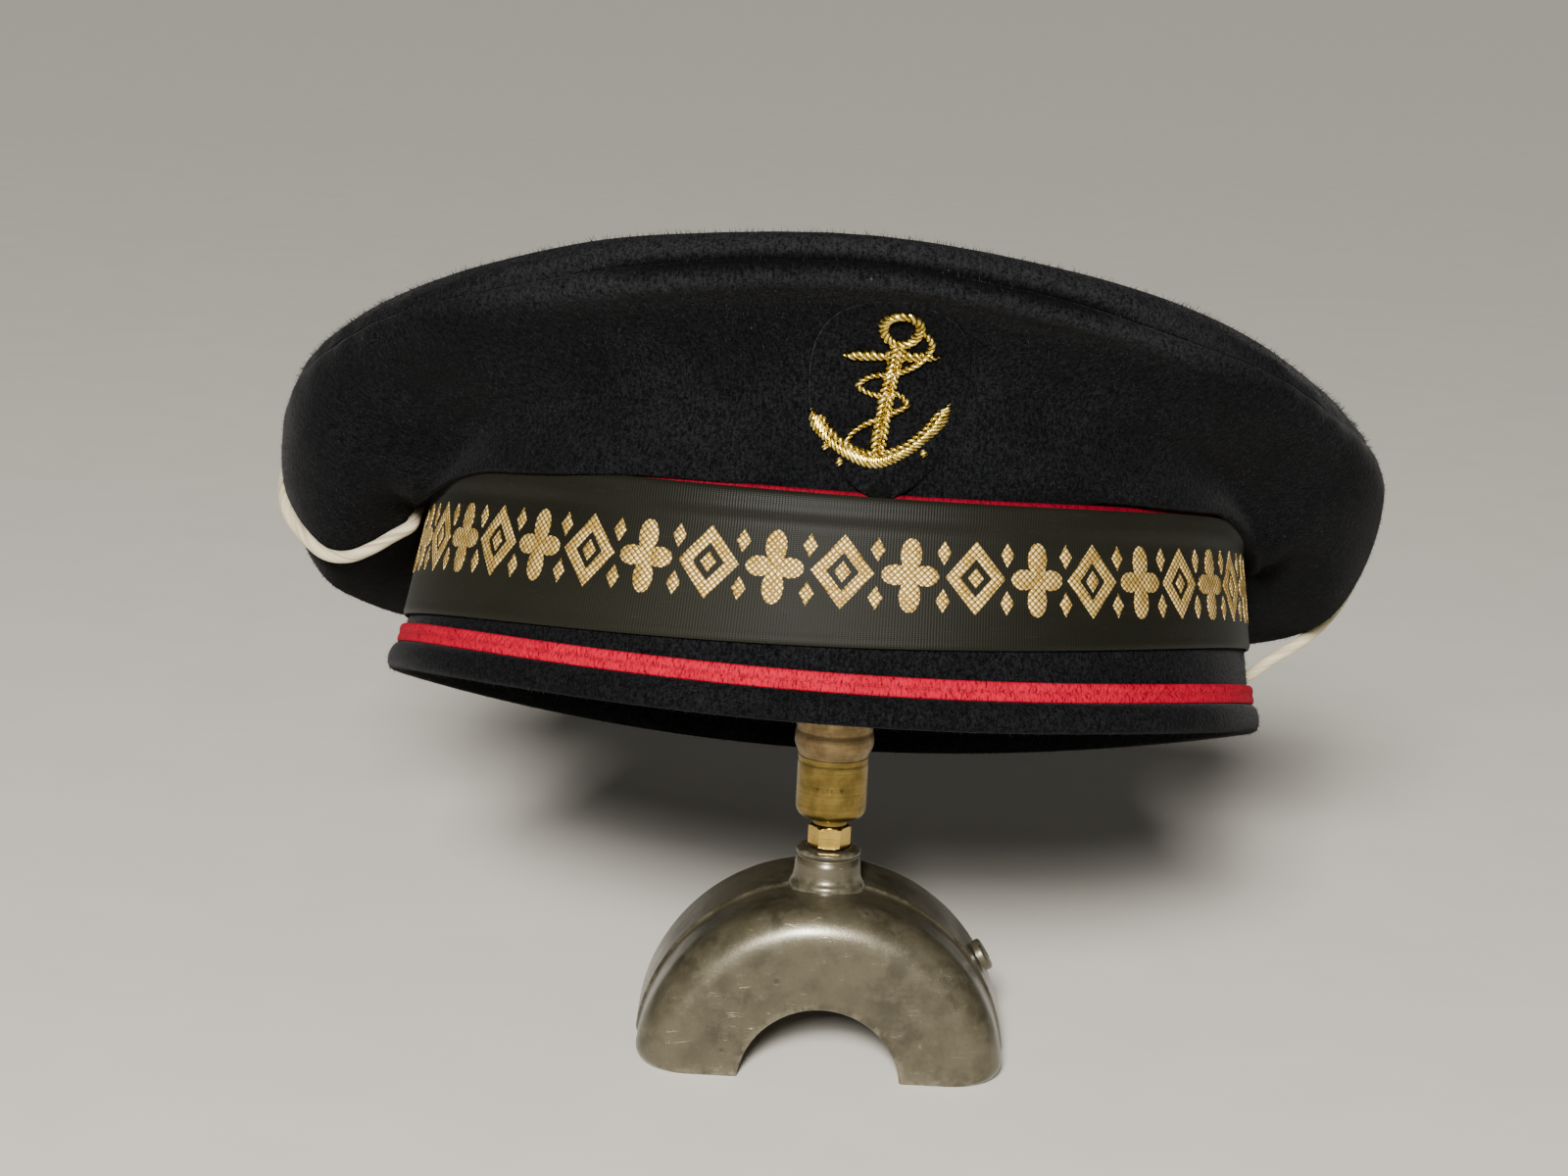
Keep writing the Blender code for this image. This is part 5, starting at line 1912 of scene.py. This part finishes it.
    def wound(self, stroke: Stroke) -> tuple[np.ndarray, np.ndarray]:
        """Winds the wire of a stroke.

        Args:
            stroke: the stroke, in metres.

        Returns:
            The table of (across, along, lift) by step along it and round it, and its flat places: the
            count of turns so far, and the share of the way round.
        """
        pitch = stroke.pitch
        line = even_line(np.array(stroke.knots), pitch / self.turn_steps)
        runs = run_length(line[:, :2])
        ahead = np.gradient(line[:, :2], axis=0)
        if stroke.closed:
            ahead[0] = ahead[-1] = line[1, :2] - line[-2, :2]
        ahead = unit(ahead)
        side = np.stack([-ahead[:, 1], ahead[:, 0]], axis=1)
        over = np.linspace(-self.wrap, math.pi + self.wrap, self.wire_sides)
        angle = np.concatenate([over, [math.pi + self.back_turn, TURN - self.back_turn, over[0] + TURN]])
        half = line[:, 2:3] / 2
        lean = np.cos(angle)[None, :] * stroke.slant * half / pitch
        if stroke.closed:
            pitch = runs[-1] / round(runs[-1] / pitch)
        phase = runs[:, None] / pitch + lean
        turns = np.abs(np.cos(math.pi * phase))
        swell = 1 - stroke.depth * (1 - turns**self.turn_round)
        tall = np.minimum(stroke.height, line[:, 2:3] * self.most_tall) * swell
        out = np.cos(angle)[None, :] * half * (1 - (1 - swell) * self.side_share)
        up = np.where(np.sin(angle) > 0, 1.0, self.back_share) * np.sin(angle) * tall
        x = line[:, 0:1] + side[:, 0:1] * out
        y = line[:, 1:2] + side[:, 1:2] * out
        lift = stroke.base + np.maximum(up, -self.back_drop)
        return np.stack([x, y, lift], axis=-1), flat_places(phase, angle / TURN)

    def add_stroke(self, whole: BMesh, stroke: Stroke) -> None:
        """Lays a wound stroke on the patch and adds it to the whole anchor.

        Args:
            whole: the anchor so far.
            stroke: the stroke.
        """
        table, cloth = self.wound(stroke)
        placed = self.place(table + (0, 0, self.patch_lift + self.patch_thickness))
        if stroke.closed:
            placed[-1] = placed[0]
        join(whole, grid_body(placed, cloth, caps=not stroke.closed))

    def scaled(self, knots: Sequence[tuple], widen: float = 1.0) -> list[tuple]:
        """A stroke's knots in metres, with its width changed."""
        return [(x * self.spread, y * self.spread, w * self.spread * widen) for x, y, w in knots]

    def build_anchor(self) -> None:
        """Builds the anchor: broad purl arms and shank, a cord along them, and a rope round it."""
        whole = bmesh.new()
        x, y, radius, tall, width = self.ring
        angles = np.linspace(0, TURN, 25)
        hoop = [(x + radius * math.cos(t), y + tall * math.sin(t), width) for t in angles]
        inner = [(px * 0.95, py + 0.040 + 0.03 * abs(px), 0.056) for px, py, _ in self.arms[1:-1]]
        spine = [(px - 0.020, py, 0.075) for px, py, _ in self.shank]
        edge = [(px + 0.038, py, 0.056) for px, py, _ in self.shank]
        strokes = [
            Stroke(self.scaled(self.arms, 0.95), 0.00100, 0.00095, 0.0, 1.0, 0.42),
            Stroke(self.scaled(self.shank, 1.1), 0.00085, 0.00110, 0.0, 0.5, 0.42),
            Stroke(self.scaled(self.stock), 0.00125, 0.00130, 0.0002, 0.8, 0.48),
            Stroke(self.scaled(hoop), 0.00120, 0.00130, 0.0001, 0.9, 0.48, closed=True),
            Stroke(self.scaled(self.rope, 1.2), 0.00120, 0.00115, 0.0005, 0.8, 0.50),
            Stroke(self.scaled(inner), 0.00110, 0.00125, 0.0007, 0.7, 0.50),
            Stroke(self.scaled(spine), 0.00120, 0.00130, 0.0006, 0.7, 0.50),
            Stroke(self.scaled(edge), 0.00090, 0.00120, 0.0004, -0.7, 0.50),
        ]
        for px, py in self.chips:
            chip = [(px, py, 0.030), (px - 0.003, py - 0.030, 0.062), (px, py - 0.062, 0.034)]
            strokes.append(Stroke(self.scaled(chip), 0.00090, 0.00070, 0.0, 0.5, 0.3))
        for stroke in strokes:
            self.add_stroke(whole, stroke)
        bmesh.ops.recalc_face_normals(whole, faces=whole.faces)
        gold = Bullion().make()
        add_piece("gold_anchor", whole, gold, ["anchor_badge"], self.shape.on_stand)

    def build(self) -> None:
        """Builds the patch and the anchor on it."""
        self.build_patch()
        self.build_anchor()


# Stand


@dataclass
class Stand:
    """The half-round cast foot with its boss and screw, and the brass pieces stacked on it."""

    metal: Material
    axis: tuple = (0.0024824, -0.0210867)
    foot_radius: float = 0.0422
    foot_depth: float = 0.041
    foot_sink: float = 0.002
    arch_radius: float = 0.0182
    shoulder: float = 0.0085
    ridge_depth: float = 0.020
    ridge_step: float = 0.0006
    back_round: float = 0.002
    toe: float = 0.0035
    arch_edge: float = 0.0004
    foot_steps: int = 120
    foot_middle: float = 0.02
    foot_sway: float = 0.00009
    still_height: float = 0.0005
    floor_wear: tuple = (0.5, 0.0012)
    arch_wear: tuple = (0.7, 0.0006)
    near: float = 0.0007
    boss_radius: float = 0.0075
    boss_flare: float = 0.0008
    boss_height: float = 0.0078
    boss_root: float = 0.0023
    boss_fade: float = 0.0022
    root_wear: float = 0.35
    top_wear: tuple = (0.8, 0.0006)
    screw_radius: float = 0.0038
    screw_height: float = 0.0018
    screw_angle: float = math.radians(32.0)
    screw_back: float = 0.010
    slot_width: float = 0.0009
    slot_depth: float = 0.0011
    slot_turn: float = 0.7
    screw_edge: float = 0.0006
    nut_flats: float = 0.0083
    nut_height: float = 0.0051
    nut_chamfer: float = math.radians(32)
    nut_round: float = 0.0001
    neck_radius: float = 0.0038
    neck_height: float = 0.0015
    socket_radius: float = 0.008
    socket_height: float = 0.0145
    socket_round: float = 0.0028
    mark_places: tuple = (-0.0033, -0.0006, 0.0019)
    mark_height: float = 0.0074
    mark_half: tuple = (0.00070, 0.00095)
    mark_relief: float = 0.00026
    ring_radius: float = 0.0089
    ring_height: float = 0.010
    gap: float = 0.0003

    @property
    def place(self) -> Matrix:
        """The move from the stand's own axis into the row frame."""
        return Matrix.Translation((*self.axis, 0))

    @property
    def boss_top(self) -> float:
        """Height of the boss's top over the floor."""
        return self.foot_radius - self.foot_sink + self.boss_height

    def depth_profile(self) -> list[tuple]:
        """The foot's outside over its depth.

        Returns:
            Rows of (y, radius, wear), from the front face to the back.
        """
        front = -self.foot_depth / 2
        back = self.foot_depth / 2
        ridge = front + self.ridge_depth
        low = self.foot_radius - self.ridge_step
        out = []
        for k in range(11):
            t = math.pi / 2 * k / 10
            y = front + self.shoulder * (1 - math.cos(t))
            out.append((y, low - self.shoulder * (1 - math.sin(t)), 0.08 * math.sin(2 * t)))
        for y in np.linspace(front + self.shoulder + 0.002, ridge - 0.0012, 6):
            out.append((y, low, 0.0))
        out += [(ridge - 0.0006, low + 0.00004, 0.0), (ridge - 0.0001, low + 0.0004, 0.4)]
        out += [(ridge + 0.0003, self.foot_radius, 0.5), (ridge + 0.0009, self.foot_radius, 0.1)]
        for y in np.linspace(ridge + 0.003, back - self.back_round - 0.001, 7):
            out.append((y, self.foot_radius, 0.0))
        for k in range(6):
            t = math.pi / 2 * k / 5
            y = back - self.back_round * (1 - math.sin(t))
            out.append((y, self.foot_radius - self.back_round * (1 - math.cos(t)), 0.7))
        return out

    def outline(self, radius: float, steps: int) -> np.ndarray:
        """The foot's outside in a cross-section.

        Args:
            radius: its radius there.
            steps: how many points lie over its top.

        Returns:
            Points (x, z) from the right toe over the top to the left toe.
        """
        toe_height = self.toe + self.foot_sink
        toe_x = math.sqrt((radius - self.toe) ** 2 - toe_height**2)
        start = math.atan2(toe_height, toe_x)
        turn = np.linspace(-math.pi / 2, start, 9)[:-1]
        right = np.stack([toe_x + self.toe * np.cos(turn), self.toe + self.toe * np.sin(turn)], axis=1)
        sweep = np.linspace(start, math.pi - start, steps)
        over = np.stack([radius * np.cos(sweep), radius * np.sin(sweep) - self.foot_sink], axis=1)
        left = right[::-1] * np.array([-1, 1])
        return np.concatenate([right, over, left])

    def foot_table(self) -> np.ndarray:
        """The foot's faces: its outside, its back, the arch and its front.

        Returns:
            The table of places, with its first row repeated as the last.
        """
        profile = self.depth_profile()
        outside = np.array([self.outline(radius, self.foot_steps) for _, radius, _ in profile])
        low = math.asin(self.foot_sink / self.arch_radius)
        sweep = np.linspace(low, math.pi - low, outside.shape[1])
        arch = self.arch_radius * np.stack([np.cos(sweep), np.sin(sweep)], axis=1)
        arch[:, 1] = np.maximum(arch[:, 1] - self.foot_sink, 0)
        wide = arch * (1 + self.arch_edge / self.arch_radius)
        front, back = profile[0][0], profile[-1][0]
        rows = [np.insert(line, 1, y, axis=1) for (y, _, _), line in zip(profile, outside)]
        for start, end, from_y, to_y, steps in (
            (outside[-1], wide, back, back, 8),
            (wide, arch, back, back - self.arch_edge, 1),
            (arch, arch, back - self.arch_edge, front + self.arch_edge, 10),
            (arch, wide, front + self.arch_edge, front, 1),
            (wide, outside[0], front, front, 10),
        ):
            for t in np.linspace(0, 1, steps + 1)[1:]:
                rows.append(np.insert(start + (end - start) * t, 1, from_y + (to_y - from_y) * t, axis=1))
        return np.stack(rows, axis=1)

    def build_foot(self) -> None:
        """Builds the half-round casting with its arch, shoulder and ridge."""
        table = self.foot_table()
        outward = table - (0, 0, self.foot_middle)
        sway = ripple(table, size=0.012, seed=8.0)[..., None] * self.foot_sway
        table = table + unit(outward) * sway * (table[..., 2:3] > self.still_height)
        table[:, -1] = table[:, 0]
        bm = grid_body(table, caps=True)
        ys, _, wears = zip(*self.depth_profile())
        layer = bm.verts.layers.float.new("wear")
        by_floor, floor_reach = self.floor_wear
        by_arch, arch_reach = self.arch_wear
        for vert in bm.verts:
            radius = math.hypot(vert.co.x, vert.co.z + self.foot_sink)
            wear = by_floor * math.exp(-vert.co.z / floor_reach)
            if radius > self.foot_radius - self.shoulder - 0.0002:
                wear = max(wear, float(np.interp(vert.co.y, ys, wears)))
            at_face = abs(abs(vert.co.y) - self.foot_depth / 2) < self.near
            if at_face and abs(radius - self.arch_radius) < arch_reach:
                wear = max(wear, by_arch)
            vert[layer] = wear
        add_piece("cast_foot", bm, self.metal, ["stand_base"], self.place, sharp=50)

    def build_boss(self) -> None:
        """Builds the turned boss, its flared root laid on the foot's round back."""
        top = self.foot_radius - self.foot_sink
        r, f, h = self.boss_radius, self.boss_flare, self.boss_height
        profile = [
            (r + f + 0.0005, top - 0.0012), (r + f + 0.0004, top + 0.0002),
            (r + 0.5 * f, top + 0.0011), (r + 0.0001, top + 0.0022),
            (r - 0.0001, top + 0.60 * h), (r - 0.5 * f, top + 0.70 * h), (r - 0.9 * f, top + 0.76 * h),
            (r - 0.9 * f, top + 0.80 * h), (r - 0.2 * f, top + 0.86 * h), (r - 0.2 * f, top + h - 0.0003),
            (r - 0.2 * f - 0.0004, top + h), (r - 2.6 * f, top + h),
            (r - 3.0 * f, top + h - 0.0004), (0.0035, top + h - 0.0004),
        ]
        bm = turned(rounded(profile, 0.0006), 96)
        layer = bm.verts.layers.float.new("wear")
        root = top + self.boss_root
        at_top, top_reach = self.top_wear
        for vert in bm.verts:
            vert[layer] = at_top * float(hump(vert.co.z, top + h, top_reach))
            if vert.co.z < root:
                vert[layer] += self.root_wear
                sunk = self.foot_radius - math.sqrt(self.foot_radius**2 - vert.co.x**2)
                vert.co.z -= sunk * min((root - vert.co.z) / self.boss_fade, 1.0)
        add_piece("turned_boss", bm, self.metal, (), self.place, sharp=40)

    def build_screw(self) -> None:
        """Builds the slotted head of the side screw, square on the foot's right shoulder."""
        bm = bmesh.new()
        r, h = self.screw_radius, self.screw_height
        bmesh.ops.create_cone(bm, cap_ends=True, segments=48, radius1=r, radius2=r, depth=h)
        bmesh.ops.translate(bm, verts=bm.verts, vec=(0, 0, h / 2))
        rim = [edge for edge in bm.edges if all(vert.co.z > h * 0.9 for vert in edge.verts)]
        bmesh.ops.bevel(bm, geom=rim, offset=self.screw_edge, segments=4, profile=0.5, affect="EDGES")
        half_slot = self.slot_width / 2
        for side in (-half_slot, half_slot):
            geom = bm.verts[:] + bm.edges[:] + bm.faces[:]
            bmesh.ops.bisect_plane(bm, geom=geom, plane_co=(0, side, 0), plane_no=(0, 1, 0), dist=1e-7)
        slot = []
        for face in bm.faces:
            middle = face.calc_center_median()
            if face.normal.z > 0.3 and abs(middle.y) < half_slot and middle.z > h * 0.6:
                slot.append(face)
        sunk = bmesh.ops.extrude_face_region(bm, geom=slot)
        bmesh.ops.delete(bm, geom=slot, context="FACES")
        for vert in new_corners(sunk):
            vert.co.z = h - self.slot_depth
        bmesh.ops.recalc_face_normals(bm, faces=bm.faces)
        lean = Matrix.Rotation(math.pi / 2 - self.screw_angle, 4, "Y")
        place = self.place @ Matrix.Translation((0, self.screw_back, -self.foot_sink)) @ lean
        place = place @ Matrix.Translation((0, 0, self.foot_radius + self.gap))
        place = place @ Matrix.Rotation(self.slot_turn, 4, "Z")
        add_piece("shoulder_screw", bm, self.metal, ["side_screw"], place, sharp=35)

    def build_nut(self) -> None:
        """Builds the hexagon nut with its corners turned off at both ends."""
        bottom = self.boss_top + self.gap
        flat = self.nut_flats / 2
        corner = flat / math.cos(math.pi / 6)
        side, front = math.radians(60), math.radians(-90)
        bm = turned([(corner, z) for z in np.linspace(bottom, bottom + self.nut_height, 25)], 144)
        for vert in bm.verts:
            radius = math.hypot(vert.co.x, vert.co.y)
            if radius < 1e-6:
                continue
            angle = math.atan2(vert.co.y, vert.co.x)
            nearest = side * round((angle - front) / side) + front
            limit = flat / math.cos(angle - nearest)
            end = min(vert.co.z - bottom, bottom + self.nut_height - vert.co.z)
            turned_off = flat - self.nut_round + end / math.tan(self.nut_chamfer)
            share = min(limit, turned_off) / radius
            vert.co.x *= share
            vert.co.y *= share
        brass = TurnedBrass(
            "bright_brass", (0.180, 0.098, 0.016), (0.540, 0.350, 0.076), (0.720, 0.500, 0.145),
            (0.15, 0.23), 0.35,
        )
        add_piece("brass_nut", bm, brass.make(), ["hex_nut"], self.place, sharp=24)

    def build_socket(self) -> None:
        """Builds the round-bottomed socket on its neck, with three small raised ovals in front."""
        bottom = self.boss_top + self.gap + self.nut_height + self.gap
        seat = bottom + self.neck_height
        r = self.socket_radius
        top = seat + self.socket_height
        profile = [(self.neck_radius, bottom), (self.neck_radius, seat)]
        for k in range(9):
            t = -math.pi / 2 + math.pi / 2 * k / 8
            inset, rise = 1 - math.cos(t), 1 + math.sin(t)
            profile.append((r - self.socket_round * inset, seat + self.socket_round * rise))
        profile += [(r, z) for z in np.linspace(seat + self.socket_round + 0.0002, top - 0.0016, 44)]
        profile += [(r - 0.0001, top - 0.0013), (r - 0.0001, top - 0.0009), (r, top - 0.0006), (r, top)]
        bm = turned(profile, 192)
        wide, tall = self.mark_half
        for vert in (vert for vert in bm.verts if vert.co.y <= -r * 0.5):
            up = (vert.co.z - seat - self.mark_height) / tall
            for x in self.mark_places:
                vert.co.y -= self.mark_relief * math.exp(-(((vert.co.x - x) / wide) ** 2) - up**2)
        brass = TurnedBrass(
            "aged_brass", (0.070, 0.046, 0.011), (0.235, 0.161, 0.042), (0.310, 0.222, 0.068),
            (0.24, 0.36), 0.42,
        )
        add_piece("brass_socket", bm, brass.make(), ["stem_socket"], self.place, sharp=40)

    def build_ring(self) -> None:
        """Builds the ring over the socket: a cone, a bright lip and the duller collar above it."""
        bottom = self.boss_top + self.nut_height + self.neck_height + self.socket_height + 3 * self.gap
        r, h = self.ring_radius, self.ring_height
        profile = [
            (self.socket_radius - 0.0001, bottom - 0.0002), (self.socket_radius + 0.0001, bottom + 0.0004),
            (r - 0.0001, bottom + 0.0021), (r, bottom + 0.0026), (r, bottom + h / 2 - 0.0012),
            (r - 0.0001, bottom + h / 2 - 0.0003), (r - 0.0003, bottom + h / 2 + 0.0007),
            (r - 0.0003, bottom + h - 0.0004), (r - 0.0006, bottom + h),
        ]
        body = turned(rounded(profile, 0.0003), 128)
        brass = TurnedBrass(
            "brown_brass", (0.080, 0.050, 0.022), (0.245, 0.171, 0.082), (0.320, 0.233, 0.118),
            (0.28, 0.42), 0.45,
        )
        add_piece("brass_ring", body, brass.make(), ["socket_ring"], self.place, sharp=40)

    def build(self) -> None:
        """Builds the stand's pieces from the floor up."""
        self.build_foot()
        self.build_boss()
        self.build_screw()
        self.build_nut()
        self.build_socket()
        self.build_ring()


# Everything


def main() -> None:
    """Builds the studio, the cord, the cap and the stand, in that order."""
    logging.basicConfig(level=logging.INFO, format="%(name)s: %(message)s")
    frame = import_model()
    shape = CapShape()
    studio = Studio()
    studio.place_camera()
    ChinCord(shape).build()
    studio.set_up()
    felt = Felt().make()
    fibre = NapFibre().make()
    HeadBand(shape, felt, fibre).build()
    TallyRibbon(shape).build()
    Crown(shape, felt, fibre).build()
    Badge(shape, felt).build()
    Stand(CastMetal().make()).build()
    wood = TurnedWood().make()
    for material_slot in frame["nodes"]["holder_post"].material_slots:
        material_slot.material = wood


if __name__ == "__main__":
    main()
